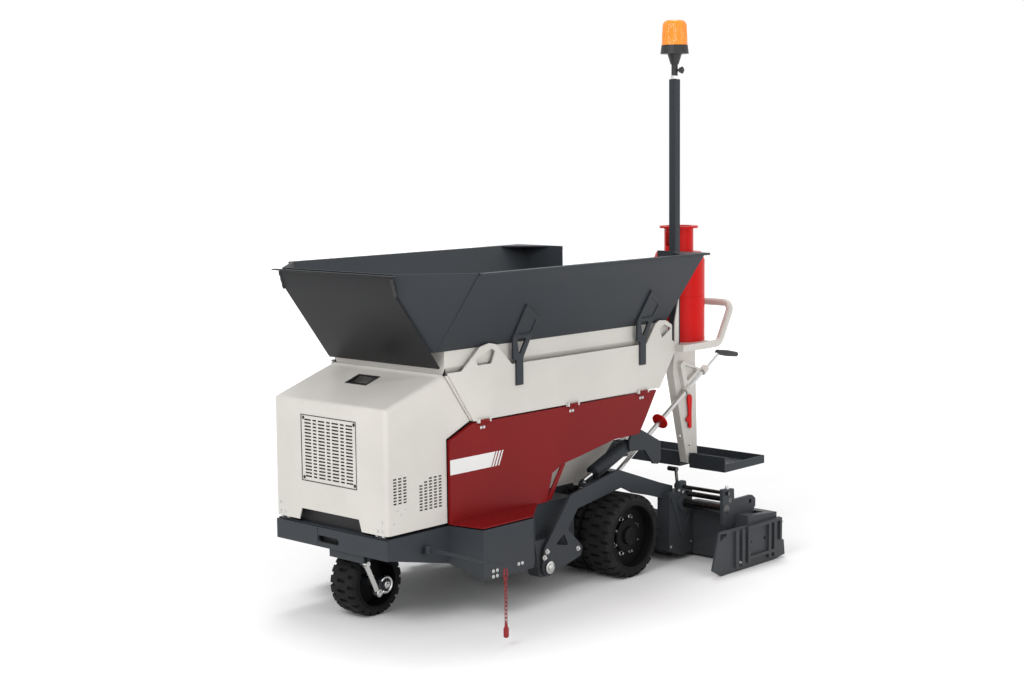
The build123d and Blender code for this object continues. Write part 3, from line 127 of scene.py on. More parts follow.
def lathe(profile, origin, direction, steps=32, closed=False):
    """Surface of revolution: a point (a, r) of the profile goes to origin + a way + r (cos t u + sin t v).

    A closed one joins its profile's end to its start; anything else is closed by a flat face at either end.
    """
    u, v, way = axes_of(direction)
    a, r = np.asarray(profile, float).T
    t = np.arange(steps) * 2 * np.pi / steps
    ring = np.cos(t)[:, None] * u + np.sin(t)[:, None] * v
    points = origin + a[:, None, None] * way + r[:, None, None] * ring
    faces = [grid_faces(len(a), steps, closed_rows=closed, closed_columns=True)]
    if not closed:
        faces += end_caps(len(a), steps)
    return points.reshape(-1, 3), faces


def tube(path, radius, sides=12):
    """A round section carried along a path: at each point the ring lies in the plane that halves the bend."""
    path = np.asarray(path, float)
    runs = np.diff(path, axis=0)
    runs = runs / np.linalg.norm(runs, axis=1)[:, None]
    ways = np.concatenate([runs[:1], runs[:-1] + runs[1:], runs[-1:]])
    ways = ways / np.linalg.norm(ways, axis=1)[:, None]
    u, _, _ = axes_of(ways[0])
    first = u - (ways @ u)[:, None] * ways
    first = first / np.linalg.norm(first, axis=1)[:, None]
    second = np.cross(ways, first)
    t = np.arange(sides) * 2 * np.pi / sides
    r = np.broadcast_to(np.asarray(radius, float), len(path))[:, None, None]
    ring = np.cos(t)[None, :, None] * first[:, None] + np.sin(t)[None, :, None] * second[:, None]
    points = path[:, None] + r * ring
    faces = [grid_faces(len(path), sides, closed_columns=True), *end_caps(len(path), sides)]
    return points.reshape(-1, 3), faces


def closed_tube(path, radius, sides=8):
    """A round section round a closed flat path; each ring faces along the mean of its point's two runs."""
    ways = np.roll(path, -1, axis=0) - np.roll(path, 1, axis=0)
    ways = ways / np.linalg.norm(ways, axis=1)[:, None]
    flat = np.cross(ways[0], path[0] - path.mean(axis=0))
    normal = flat / np.linalg.norm(flat)
    side = np.cross(ways, normal)
    t = np.arange(sides) * 2 * np.pi / sides
    ring = np.cos(t)[None, :, None] * side[:, None] + np.sin(t)[None, :, None] * normal
    points = path[:, None] + radius * ring
    return points.reshape(-1, 3), grid_faces(len(path), sides, closed_rows=True, closed_columns=True)


def upright_rings(radii, heights, origin):
    """Level rings at origin + (r cos t, r sin t, z); a row of radii holds one ring's r all the way round."""
    steps = radii.shape[1]
    t = np.arange(steps) * 2 * np.pi / steps
    z = np.repeat(np.asarray(heights, float)[:, None], steps, axis=1)
    points = np.stack([radii * np.cos(t), radii * np.sin(t), z], -1).reshape(-1, 3) + origin
    return points, [grid_faces(len(radii), steps, closed_columns=True), *end_caps(len(radii), steps)]


def slab(outline, origin, across, up, thickness):
    """A flat outline of (a, b) points put at origin + a across + b up and thickened along across x up."""
    outline = np.asarray(outline, float)
    across, up = np.asarray(across, float), np.asarray(up, float)
    normal = np.cross(across, up)
    flat = origin + outline[:, :1] * across + outline[:, 1:] * up
    count = len(outline)
    here = np.arange(count)
    after = np.roll(here, -1)
    a, b = outline.T
    area = np.sum(a * b[after] - a[after] * b)
    faces = [*end_caps(2, count), np.stack([here, after, after + count, here + count], 1)]
    if area * thickness < 0:
        faces = [group[:, ::-1] for group in faces]
    return np.concatenate([flat, flat + thickness * normal]), faces


def upright(rows, y, thick):
    """A plate along the machine from its (x, z) corners in millimetres: from y to the right by thick."""
    return slab(np.array(rows) * MM, at(0, y, 0), (1, 0, 0), (0, 0, 1), thick * MM)


def facing(rows, x, thick):
    """A plate across the machine from its (y, z) corners in millimetres: from x forward by thick."""
    return slab(np.array(rows) * MM, at(x, 0, 0), (0, 1, 0), (0, 0, 1), thick * MM)


def flat_sheet(rows, z, thick):
    """A level plate from its plan corners in millimetres, its lower face at height z."""
    return slab(np.array(rows) * MM, at(0, 0, z), (1, 0, 0), (0, 1, 0), thick * MM)


def oblong(a0, a1, b0, b1):
    """The corners of a rectangle, in order."""
    return [(a0, b0), (a1, b0), (a1, b1), (a0, b1)]


def copies(part, places, direction=None):
    """One small part repeated: each copy is its own points turned to a direction and moved to a place."""
    points, faces = part
    places = np.asarray(places, float)
    ways = np.broadcast_to(np.asarray([0, 0, 1.0] if direction is None else direction, float), places.shape)
    turns = np.stack([np.stack(axes_of(way)) for way in ways])
    moved = np.einsum("pi,nij->npj", points, turns) + places[:, None]
    step = np.arange(len(places)) * len(points)
    spread = [(group[None] + step[:, None, None]).reshape(-1, group.shape[1]) for group in face_groups(faces)]
    return moved.reshape(-1, 3), spread


# %% Finished pieces
CREASE = np.radians(34)
SHEET_EDGE = 0.0012


def placed(name, data):
    """Puts a new object with this mesh, lamp or camera into the scene."""
    made = bpy.data.objects.new(name, data)
    bpy.context.scene.collection.objects.link(made)
    return made


def add_bevel(made, width):
    """A narrow two-step bevel along the edges where the surface turns."""
    edge = made.modifiers.new("edge", "BEVEL")
    edge.width, edge.segments, edge.limit_method = width, 2, "ANGLE"
    return edge


def piece(name, part, material, body, slot, replaces=(), bevel=0.0):
    """Makes the object of a (points, faces) pair, finishes it and puts it on its body."""
    points, faces = part
    rows = [row for group in face_groups(faces) for row in group.tolist()]
    mesh = bpy.data.meshes.new(name)
    mesh.from_pydata(points.tolist(), [], rows)
    mesh.update()
    mesh.materials.append(material)
    made = placed(name, mesh)
    mesh.shade_smooth()
    mesh.set_sharp_from_angle(angle=CREASE)
    if bevel:
        add_bevel(made, bevel)
    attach(made, body)
    if replaces:
        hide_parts(*replaces)
    print(name, len(points), "points on", body)
    return made


def soften(names, width):
    """Breaks the sharp edges of CAD plates: loose triangles are welded, then bevelled where they turn."""
    for name in names:
        weld = nodes[name].modifiers.new("weld", "WELD")
        weld.merge_threshold = 0.00002
        add_bevel(nodes[name], width).angle_limit = np.radians(40)


# %% [markdown]
# ## Shader arithmetic
#
# A material's node tree is a formula. Wrapping a socket in a small class with operators lets the
# formula be written as one, and each operator adds the Math node that works it out.

# %% Sockets with operators
class Wire:
    """A socket's value; an operator on it adds a Math node to the same bench."""

    def __init__(self, bench, socket):
        self.bench = bench
        self.socket = socket

    def _maths(self, operation, *values):
        return self.bench.node("ShaderNodeMath", {"operation": operation}, *values)

    def __add__(self, other):
        return self._maths("ADD", self, other)

    def __radd__(self, other):
        return self._maths("ADD", other, self)

    def __sub__(self, other):
        return self._maths("SUBTRACT", self, other)

    def __rsub__(self, other):
        return self._maths("SUBTRACT", other, self)

    def __mul__(self, other):
        return self._maths("MULTIPLY", self, other)

    def __pow__(self, other):
        return self._maths("POWER", self, other)

    def low(self, other):
        return self._maths("MINIMUM", self, other)

    def high(self, other):
        return self._maths("MAXIMUM", self, other)

    def above(self, edge, soft=0.02):
        """0 below the edge and 1 above it, with a soft step between."""
        step = {"interpolation_type": "SMOOTHSTEP"}
        return self.bench.node("ShaderNodeMapRange", step, self, edge - soft, edge + soft, 0.0, 1.0)


class Bench:
    """The node tree of one material, with its shader and the places of its surface."""

    def __init__(self, name):
        self.material = bpy.data.materials.new(name)
        self.material.use_nodes = True
        self.tree = self.material.node_tree
        self.shader = next(n for n in self.tree.nodes if n.type == "BSDF_PRINCIPLED")
        self.place = self.node("ShaderNodeTexCoord", out="Object")

    def node(self, kind, settings=None, *values, out=0, **named):
        """Any node: its settings first, then the values or links of its sockets."""
        made = self.tree.nodes.new(kind)
        for key, value in (settings or {}).items():
            setattr(made, key, value)
        for number, value in enumerate(values):
            self.feed(made.inputs[number], value)
        for key, value in named.items():
            self.feed(made.inputs[key], value)
        return Wire(self, made.outputs[out])

    def feed(self, socket, value):
        if isinstance(value, Wire):
            self.tree.links.new(value.socket, socket)
        elif hasattr(value, "__len__") and len(value) == 3 and socket.type == "RGBA":
            socket.default_value = (*value, 1)
        else:
            socket.default_value = value

    def noise(self, scale, detail=4.0, stretch=None):
        """Cloudy values round 0.5; stretch multiplies the places along each axis first."""
        place = self.place
        if stretch:
            place = self.node("ShaderNodeMapping", None, Vector=place, Scale=stretch)
        return self.node("ShaderNodeTexNoise", None, Vector=place, Scale=scale, Detail=detail)

    def axis(self, letter):
        return self.node("ShaderNodeSeparateXYZ", None, self.place, out=letter)

    def mix(self, mask, first, second):
        """Colour that goes from first to second as the mask goes from 0 to 1."""
        made = self.tree.nodes.new("ShaderNodeMix")
        made.data_type = "RGBA"
        self.feed(made.inputs[0], mask)
        self.feed(made.inputs[6], first)
        self.feed(made.inputs[7], second)
        return Wire(self, made.outputs[2])

    def set(self, **sockets):
        for key, value in sockets.items():
            self.feed(self.shader.inputs[key.replace("_", " ")], value)

    def bump(self, height, strength, distance=0.001):
        normal = self.node("ShaderNodeBump", None, Strength=strength, Distance=distance, Height=height)
        self.feed(self.shader.inputs["Normal"], normal)


# %% [markdown]
# ## Finishes
#
# Sheet-metal paint is smooth but never even: it has a fine orange peel, its gloss varies in large
# soft clouds, and road dust settles low down. One function makes every paint on the machine from
# its colour and gloss, so that they all age in the same way.

# %% Paint
DUST = (0.30, 0.27, 0.235)
DUST_TOP = 0.32


def shade(colour, factor):
    return tuple(min(1.0, value * factor) for value in colour)


def paint(name, colour, gloss, peel=0.05, dust=0.25, shine=0.3):
    """Paint with soft clouds in colour and gloss, orange peel, and dust that fades out with height."""
    bench = Bench(name)
    clouds = bench.noise(3.0, 3.0)
    fine = bench.noise(55.0, 4.0)
    height = bench.axis("Z")
    near_ground = (DUST_TOP - height).high(0.0) * dust * (0.35 + fine)
    settled = near_ground + (fine - 0.6).high(0.0) * dust * 0.35
    tint = bench.mix(clouds.above(0.5, 0.2), shade(colour, 0.94), shade(colour, 1.04))
    bench.set(Base_Color=bench.mix(settled.low(0.5), tint, DUST))
    bench.set(Roughness=gloss + (clouds - 0.5) * 0.16 + settled * 0.6)
    bench.set(Specular_IOR_Level=shine)
    bench.bump(bench.noise(420.0, 2.0), peel, 0.0006)
    return bench.material


light_paint = paint("light_paint", (0.63, 0.605, 0.565), 0.42)
red_paint = paint("door_red", (0.205, 0.008, 0.009), 0.32, peel=0.04, dust=0.10, shine=0.12)
signal_red = paint("signal_red", (0.62, 0.006, 0.005), 0.34, peel=0.04, dust=0.0, shine=0.12)
slate_paint = paint("slate_paint", (0.036, 0.041, 0.048), 0.46, peel=0.08, dust=0.20, shine=0.18)
plate_black = paint("plate_black", (0.012, 0.0125, 0.014), 0.40, peel=0.04, dust=0.05, shine=0.2)
chain_red = paint("chain_red", (0.26, 0.014, 0.018), 0.5, peel=0.1, dust=0.0)
rim_paint = paint("rim_black", (0.0035, 0.0035, 0.004), 0.5, dust=0.04, shine=0.15)
white_vinyl = paint("white_vinyl", (0.78, 0.78, 0.77), 0.35, peel=0.01, dust=0.05)
cast_grey = paint("engine_grey", (0.045, 0.045, 0.048), 0.6, peel=0.25)

# %% [markdown]
# ## Bare metal, rubber and plastic
#
# Bright steel rods carry fine scratches along their length, worn steel is dull and patchy, solid
# tyre rubber is a matt charcoal with a fine grain, and the beacon's lens lets light through amber.

# %% Metals
def steel(name, colour, roughness, scratch, worn=0.0):
    """Bare metal: streaky gloss from stretched noise, and darker dull patches where it is worn."""
    bench = Bench(name)
    streak = bench.noise(160.0, 3.0, stretch=(0.08, 1.0, 1.0))
    patch = bench.noise(14.0, 5.0).above(0.56, 0.08)
    bench.set(Base_Color=bench.mix(patch * worn, colour, shade(colour, 0.35)))
    bench.set(Roughness=roughness + (streak - 0.5) * scratch + patch * worn * 0.25)
    bench.set(Metallic=1.0)
    bench.bump(streak, 0.06, 0.0004)
    return bench.material


bright_steel = steel("bright_steel", (0.60, 0.60, 0.59), 0.24, 0.12)
oiled_steel = steel("oiled_steel", (0.11, 0.108, 0.105), 0.22, 0.16, 0.2)
chrome_rod = steel("chrome_rod", (0.75, 0.75, 0.76), 0.10, 0.08)
worn_steel = steel("worn_steel", (0.24, 0.23, 0.22), 0.45, 0.30, 0.8)


# %% Rubber and plastic
def rubber():
    """Charcoal rubber whose grain is fine noise and whose dust is caught in larger patches."""
    bench = Bench("tyre_rubber")
    grain = bench.noise(600.0, 3.0)
    dusty = bench.noise(22.0, 5.0).above(0.55, 0.12)
    bench.set(Base_Color=bench.mix(dusty * 0.25, (0.0085, 0.0087, 0.009), (0.030, 0.029, 0.027)))
    bench.set(Roughness=0.62 + grain * 0.25, Specular_IOR_Level=0.2)
    bench.bump(grain, 0.25, 0.0008)
    return bench.material


def moulded(name, colour, roughness):
    """Moulded plastic: a fine even grain with a little variation in gloss."""
    bench = Bench(name)
    grain = bench.noise(900.0, 2.0)
    bench.set(Base_Color=bench.mix(bench.noise(30.0), shade(colour, 0.85), shade(colour, 1.2)))
    bench.set(Roughness=roughness + grain * 0.12)
    bench.bump(grain, 0.12, 0.0003)
    return bench.material


def lens():
    """Clear amber plastic: it lets light through, its tone varies at random, and a faint even painted glow is
    added.
    """
    bench = Bench("amber_lens")
    depth = bench.noise(40.0, 2.0)
    bench.set(Base_Color=bench.mix(depth, (1.0, 0.30, 0.010), (1.0, 0.42, 0.03)))
    bench.set(Roughness=0.08 + depth * 0.06)
    bench.set(IOR=1.49, Transmission_Weight=0.55)
    # A faint even emission: painted glow, not light from the beacon's lamp.
    bench.set(Emission_Color=(1.0, 0.24, 0.01), Emission_Strength=0.10)
    return bench.material


tyre_rubber = rubber()
black_plastic = moulded("black_plastic", (0.014, 0.014, 0.015), 0.45)
amber_lens = lens()

# %% [markdown]
# ## Finishes on the CAD plates
#
# Each plate of the frame takes the finish of its material slot. Folded and cut sheet has no razor
# edges, so a narrow bevel catches a line of light along them.

# %% Dressing the plates
FINISH = {
    "light_paint": light_paint,
    "red_paint": red_paint,
    "signal_red": signal_red,
    "slate_paint": slate_paint,
    "rim_paint": rim_paint,
    "engine_grey": cast_grey,
    "tyre_rubber": tyre_rubber,
    "worn_steel": worn_steel,
    "bright_steel": bright_steel,
    "oiled_steel": oiled_steel,
    "chrome_rod": chrome_rod,
    "black_plastic": black_plastic,
    "amber_lens": amber_lens,
}
for row in frame["record"]["subparts"]:
    plate = nodes[row["node"]]
    plate.data.materials.clear()
    plate.data.materials.append(FINISH[row["material_slot"]])
FOLDED = ["chassis_frame", "hopper_shell", "conveyor_trough", "rear_console", "footboard", "hood_shell"]
PAIRED = ["side_panel", "door", "tow_arm", "hopper_struts", "extension_box", "end_plate", "platform_leg"]
FOLDED += [f"{name}_{hand}" for hand, _ in SIDES for name in PAIRED + ["screed_bracket"]]
soften(FOLDED + ["screed_body", "beacon_mast"], SHEET_EDGE)

# %% [markdown]
# ## Tyres
#
# The wheels run on solid rubber. Its surface is a closed profile turned about the axle, and the
# tread is the same surface pushed inward wherever a slot is: three columns of short slots, the
# middle one half a pitch behind its neighbours, the outer two running out over the shoulders.

# %% A slotted tread
def treaded(centre, width, radius, bore, pitches, deep):
    """Turned profile whose radius loses `deep` x column(y) x slot(t), a product of two masks of 0 and 1."""
    half = width / 2
    cut = np.array([0.14, 0.16, 0.25, 0.27]) * width
    flank = [(half - 0.005, bore), (half - 0.002, bore + 0.002), (half - 0.002, bore + 0.007)]
    flank += [(half, bore + 0.010), (half, radius - 0.022), (half - 0.002, radius - 0.019)]
    flank += [(half - 0.002, radius - 0.010), (half - 0.006, radius - 0.002), (half - 0.011, radius)]
    tread = [(y, radius) for y in cut[::-1]]
    one_side = flank + tread
    y, r = np.array([(-a, b) for a, b in one_side] + one_side[::-1]).T
    sunk = np.interp(r, [radius - 0.019, radius - 0.010, radius], [0, 0.75, 1.0])
    outer = (np.abs(y) > cut[3] - 1e-6) * sunk
    middle = np.abs(y) < cut[0] + 1e-6
    edges = np.array([-0.16, -0.13, 0.13, 0.16, 0.34, 0.37, 0.63, 0.66])
    here = np.tile([0, 1, 1, 0, 0, 0, 0, 0], pitches)
    behind = np.tile([0, 0, 0, 0, 0, 1, 1, 0], pitches)
    t = ((np.arange(pitches)[:, None] + edges) * 2 * np.pi / pitches).ravel()
    depth = deep * (outer[:, None] * here + middle[:, None] * behind)
    u, v, way = axes_of((0, 1, 0))
    ring = np.cos(t)[:, None] * u + np.sin(t)[:, None] * v
    points = np.asarray(centre) + y[:, None, None] * way + (r[:, None] - depth)[..., None] * ring
    return points.reshape(-1, 3), grid_faces(len(y), len(t), closed_rows=True, closed_columns=True)


def cylinder_of(node):
    """Middle and half sizes of a round node's box."""
    low, high = (np.array(corner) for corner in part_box(node))
    return (low + high) / 2, (high - low) / 2


middle, half = cylinder_of("front_tyre")
front_tread = treaded(middle, 2 * half[1], half[2], 0.088, 20, 0.009)
piece("front_tyre_tread", front_tread, tyre_rubber, "front_wheel", "tyre_rubber", replaces=["front_tyre"])
TYRE_W = 0.132
for hand, side in SIDES:
    middle, half = cylinder_of(f"rear_tyres_{hand}")
    twin = [middle + (0, step * (half[1] - TYRE_W / 2), 0) for step in (1, -1)]
    treads = join(*[treaded(centre, TYRE_W, half[2], 0.118, 26, 0.009) for centre in twin])
    name = f"rear_tyres_tread_{hand}"
    piece(name, treads, tyre_rubber, f"rear_wheel_{hand}", "tyre_rubber", replaces=[f"rear_tyres_{hand}"])

# %% [markdown]
# ## Bolts
#
# A bolt is two lathes: a round washer, and a head turned in only six steps so that it comes out
# hexagonal. One is made at the origin and copied to every place it is needed, turned to face out.

# %% Bolt, places and mirrored sides
def bolt(radius, height):
    """A hexagon head with a chamfered top on a thin washer, standing along +Z."""
    washer = [(-0.001, 1.5 * radius), (0.2 * height, 1.5 * radius), (0.27 * height, 1.38 * radius)]
    head = [(0.1 * height, radius), (0.85 * height, radius), (height, 0.8 * radius)]
    return join(lathe(washer, np.zeros(3), (0, 0, 1), 16), lathe(head, np.zeros(3), (0, 0, 1), 6))


def spots(rows):
    """Places in millimetres from the rear axle as one array of points."""
    return np.array([at(*row) for row in rows])


def both_sides(rows):
    """Places on the left and their mirror images, with the outward direction of each."""
    left = spots(rows)
    ways = np.repeat([[0.0, 1.0, 0.0], [0.0, -1.0, 0.0]], len(left), axis=0)
    return np.concatenate([left, left * (1, -1, 1)]), ways


def mirrored(part, side):
    """The part itself on the left; on the right its mirror image, with its faces turned to look outward."""
    points, faces = part
    if side > 0:
        return part
    return points * (1, -1, 1), [group[:, ::-1] for group in face_groups(faces)]


def pair(part):
    """The part and its mirror image as one."""
    return join(part, mirrored(part, -1))


def bolts(name, body, rows, radius=5.0, height=5.0, direction=None, material=None, slot="bright_steel"):
    """Bolts at places on both sides of a body, or at the places themselves when a direction is given."""
    places, ways = both_sides(rows) if direction is None else (spots(rows), direction)
    part = copies(bolt(radius * MM, height * MM), places, ways)
    piece(name, part, material or bright_steel, body, slot)


# %% Wheel hardware
for hand, side in SIDES:
    t = (np.arange(8) + 0.5) * np.pi / 4
    circle = [(68 * np.cos(a), side * 366, REAR_R / MM + 68 * np.sin(a)) for a in t]
    bolts(f"wheel_nuts_{hand}", f"rear_wheel_{hand}", circle, 6.5, 13, direction=(0, side, 0))
    hub = [(0.366, 0.0605), (0.376, 0.0605), (0.3795, 0.057), (0.381, 0.034), (0.394, 0.031)]
    hub += [(0.397, 0.024)]
    lip = [(0.396, 0.112), (0.402, 0.111), (0.407, 0.113), (0.408, 0.117), (0.4055, 0.121)]
    lip += [(0.400, 0.1185)]
    centre = at(0, 0, 0) * (1, 0, 1) + (0, 0, REAR_R)
    cap = lathe(hub, centre, (0, side, 0), 40)
    edge = lathe(lip[::-1], centre, (0, side, 0), 72, closed=True)
    piece(f"wheel_hub_{hand}", join(cap, edge), rim_paint, f"rear_wheel_{hand}", "rim_paint")

# %% Front wheel: the bright stay, its open ring and the axle nut
def arc(centre, radius, start, end, steps, y):
    """Points of an arc in a plane across the machine, angles in degrees from the front, up over the top."""
    a = np.radians(np.linspace(start, end, steps))
    return np.stack([centre[0] + radius * np.cos(a), np.full(steps, y), centre[1] + radius * np.sin(a)], 1)


stay = tube(spots([(1028, 104, 193), (980, 104, 92)]), 10.5 * MM, 20)
eye_low = lathe([(-11 * MM, 13 * MM), (11 * MM, 13 * MM)], at(980, 104, 90), (0, 1, 0), 24)
eye_top = lathe([(-9 * MM, 9 * MM), (13 * MM, 9 * MM)], at(1028, 102, 197), (0, 1, 0), 24)
ring = tube(spots(arc((950, 114), 25, 35, 300, 34, 112)), 6.5 * MM, 12)
bridge = tube(spots([(961, 112, 93), (972, 110, 88), (980, 108, 90)]), 6.5 * MM, 12)
piece("front_stay", join(stay, eye_low, eye_top, ring, bridge), bright_steel, "steering", "bright_steel")
bolts("front_axle_nut", "steering", [(950, 120, 114), (980, 115, 90)], 8, 7, direction=(0, 1, 0))
lip = [(0.066, 0.082), (0.072, 0.081), (0.075, 0.084), (0.0745, 0.088), (0.070, 0.090)]
edge = lathe(lip[::-1], at(950, 0, 114), (0, 1, 0), 56, closed=True)
piece("front_rim_lip", edge, rim_paint, "front_wheel", "rim_paint")

# %% [markdown]
# ## The hood's small parts
#
# Screws hold the grille at its corners and the hood's front at its feet. In the recess on the
# slope sits a paddle latch: a tray with a tilted tongue, pulled up to let the hood tip forward.

# %% Hood hardware
corner = [(1090, 252, 368), (1090, 231, 337), (1090, 252, 337)]
corner += [(x, -y, z) for x, y, z in corner]
bolts("hood_corner_bolts", "hood", corner, 3.6, 4, direction=(1, 0, 0))
screws = [(1090, y, z) for y in (-124, 126) for z in (470, 671)]
dark = {"material": black_plastic, "slot": "black_plastic"}
bolts("grille_screws", "hood", screws, 4.0, 2.5, direction=(1, 0, 0), **dark)
side_screws = [(1024, 275, 518), (1044, 275, 404), (1007, 275, 403), (1030, 275, 386), (1060, 275, 361)]
bolts("hood_side_screws", "hood", side_screws, 2.4, 1.6)
SLOPE = np.array([-264.0, 0, 87.0]) / np.hypot(264, 87)
SLOPE_UP = np.cross((0, 1, 0), SLOPE)
latch = at(918, -17, 787.4)


def sloped(rows):
    """Points in the recess from (along the slope, to the left, out of it) rows in millimetres."""
    along, left, out = (np.array(rows) * MM).T[..., None]
    return latch + along * SLOPE + left * np.array([0, 1.0, 0]) + out * SLOPE_UP


outer, inner = oblong(-36, 36, -53, 53), oblong(-30, 30, -47, 47)
levels = ((outer, 0.0), (outer, 1.6), (inner, 1.6), (inner, -9.0))
rim_points = sloped([(a, b, out) for outline, out in levels for a, b in outline])
rim_faces = grid_faces(4, 4, closed_rows=True, closed_columns=True)[:, ::-1]
floor_origin = latch - 10 * MM * SLOPE_UP
floor_plate = slab(np.array(inner) * MM, floor_origin, SLOPE, (0, 1, 0), 1.5 * MM)
tongue = [(-4, -44, -9), (28, -44, -1), (28, 44, -1), (-4, 44, -9)]
tongue += [(-4, -44, -11), (28, -44, -4), (28, 44, -4), (-4, 44, -11)]
BOX_FACES = np.array([[0, 3, 2, 1], [4, 5, 6, 7], [0, 1, 5, 4], [1, 2, 6, 5], [2, 3, 7, 6], [3, 0, 4, 7]])
tray = join((rim_points, rim_faces), floor_plate)
piece("hood_latch_frame", tray, black_plastic, "hood", "black_plastic", bevel=0.0008)
piece("hood_latch_tongue", (sloped(tongue), BOX_FACES), worn_steel, "hood", "worn_steel", bevel=SHEET_EDGE)

# %% [markdown]
# ## Doors
#
# Each door carries a blank white band that ends in three slanted stripes, bolts at its hinge
# leaves and a strap that runs down to its foot.

# %% Bands, straps and hinge bolts
STRIPE_LOW, STRIPE_HIGH = 484, 534
LEAN = 22
band = [(813, STRIPE_LOW), (813, STRIPE_HIGH), (596, STRIPE_HIGH), (596 + LEAN, STRIPE_LOW)]
stripes = [
    [(x + wide + LEAN, STRIPE_LOW), (x + wide, STRIPE_HIGH), (x, STRIPE_HIGH), (x + LEAN, STRIPE_LOW)]
    for x, wide in ((583, 8), (569, 8), (556, 6))
]
HINGE_X = (657, 201, -196)
strap = [(254, 440), (232, 440), (312, 321), (336, 321)]
for hand, side in SIDES:
    body = f"door_{hand}"
    sheets = join(*[upright(row, 287.6, -0.7) for row in (band, *stripes)])
    piece(f"door_band_{hand}", mirrored(sheets, side), white_vinyl, body, "light_paint")
    bar = mirrored(upright(strap, 281, -6), side)
    piece(f"door_strap_{hand}", bar, red_paint, body, "red_paint", bevel=SHEET_EDGE)
    leaves = [(x + step, side * 288, 625) for x in HINGE_X for step in (7, -7)]
    bolts(f"hinge_bolts_{hand}", f"door_{hand}", leaves, 3.8, 3.5, direction=(0, side, 0))

# %% [markdown]
# ## Behind the openings
#
# Under the hood it is dark, so black sheets stand behind its slots as painted shade. A light strip lies
# behind the seam between hood and side panel, a thin black line frames the grille, and a near-black plate
# behind the bumper's slot is painted shade that closes the view through it.

# %% Shade sheets, seam strips, the grille's line and the shade plate
VENTS = ((1030, 464, 36, 48), (892, 436, 60, 60))
# Black sheets inside the hood behind its side and front slots: painted shade for the dark space under the
# hood.
vent_shade_sheets = [upright(oblong(x - a, x + a, z - b, z + b), 270.5, 1.5) for x, z, a, b in VENTS]
front_shade_sheet = facing(oblong(-125, 125, 470, 670), 1083, 2)
shade_sheets = join(front_shade_sheet, *[pair(part) for part in vent_shade_sheets])
piece("hood_shade_sheets", shade_sheets, black_plastic, "hood", "black_plastic")
seam = upright([(690, 652), (706, 652), (824, 815), (808, 815)], 283, 6)
piece("hood_seam_strips", pair(seam), light_paint, "machine", "light_paint")
line = spots([(1090.5, y, z) for y, z in oblong(-135, 135, 459, 681)])
gasket = [tube(line[[k, (k + 1) % 4]], 0.0013, 8) for k in range(4)]
piece("grille_gasket", join(*gasket), black_plastic, "hood", "black_plastic")
# A near-black plate behind the bumper's slot: painted shade that closes the view through it.
shade_plate = facing(oblong(-95, 66, 236, 300), 1066, 4)
piece("bumper_shade_plate", shade_plate, plate_black, "machine", "slate_paint")

# %% [markdown]
# ## Hopper
#
# The hopper is folded sheet. Seen from above its outline is a hexagon that widens upward, and its
# nose folds once to rise more steeply to the rim. A flat front plate lies on the nose, folded along
# the same line, and runs on down to the hood.

# %% Hopper walls, each column a low, a fold and a rim place with the way inward and the top's height
LOW_Z, FOLD_Z, RIM_Z, CUT_Z = 895, 1093, 1162, 1042
SKIN = 5
LOW_HALF, RIM_HALF = 274, 460
fold_half = LOW_HALF + (RIM_HALF - LOW_HALF) * (FOLD_Z - LOW_Z) / (RIM_Z - LOW_Z)
columns = [
    ((880, 252), (1028, 262), (1048, 264), (-1.0, -0.5), RIM_Z),
    ((850, LOW_HALF), (843, fold_half), (840, RIM_HALF), (-0.5, -1.0), RIM_Z),
    ((-361, LOW_HALF), (-361, fold_half), (-361, RIM_HALF), (1.0, -1.0), RIM_Z),
    ((-361, 238.5), (-361, 238.5), (-361, 238.5), (1.0, 0.0), RIM_Z),
    ((-361, 238.0), (-361, 238.0), (-361, 238.0), (1.0, 0.0), CUT_Z),
]


def half_wall(side):
    """The columns of one half, each three points up the outer face and three down the inner one."""
    rings = []
    for low, fold, rim, inward, top in columns:
        outer = [(*low, LOW_Z), (*fold, min(FOLD_Z, top - 1)), (*rim, top)]
        inner = [(x + SKIN * inward[0], y + SKIN * inward[1], z) for x, y, z in outer[::-1]]
        rings.append([(x, side * y, z) for x, y, z in outer + inner])
    return rings


around = half_wall(-1) + half_wall(1)[::-1]
wall_faces = grid_faces(len(around), 6, closed_rows=True, closed_columns=True)
sheets = [(spots(np.array(around).reshape(-1, 3)), wall_faces)]
for _, side in SIDES:
    lip = flat_sheet([(-361, 458), (840, 458), (846, 470), (840, 480), (-361, 480)], 1154, 7.6)
    gusset = flat_sheet([(-360, 304), (-231, 460), (-360, 460)], 1156.6, 5)
    sheets += [mirrored(lip, side), mirrored(gusset, side)]
PLATE_HALF = 271
plate_side = [(841, 838), (1034, FOLD_Z), (1053, 1152), (1068, 1153)]
plate_side += [(1068, 1158), (1047, 1158), (1028, 1096), (836, 842)]
ear_side = [(1049, 1152.5), (1067, 1153.5), (1067, 1157.5), (1049, 1157.5)]
EAR_HALF = PLATE_HALF + 27
front = join(upright(plate_side, PLATE_HALF, 2 * PLATE_HALF), upright(ear_side, EAR_HALF, 2 * EAR_HALF))
piece("hopper_front_plate", front, plate_black, "machine", "slate_paint", bevel=SHEET_EDGE)
shell = {"replaces": ["hopper_shell"], "bevel": SHEET_EDGE}
piece("hopper_sheets", join(*sheets), slate_paint, "machine", "slate_paint", **shell)
gap_cover = upright(oblong(812.5, 815, 815, 850), PLATE_HALF, 2 * PLATE_HALF)
piece("hopper_gap_cover", gap_cover, plate_black, "machine", "slate_paint")
s = np.linspace(0, 1, 40)
seal_path = at(1032, 274, 1090) + s[:, None] * (at(1050, 274, 1150) - at(1032, 274, 1090))
seal = tube(seal_path, 0.0045 + 0.0014 * np.abs(np.sin(s * 3 * np.pi)), 10)
piece("hopper_edge_seals", pair(seal), black_plastic, "machine", "black_plastic")

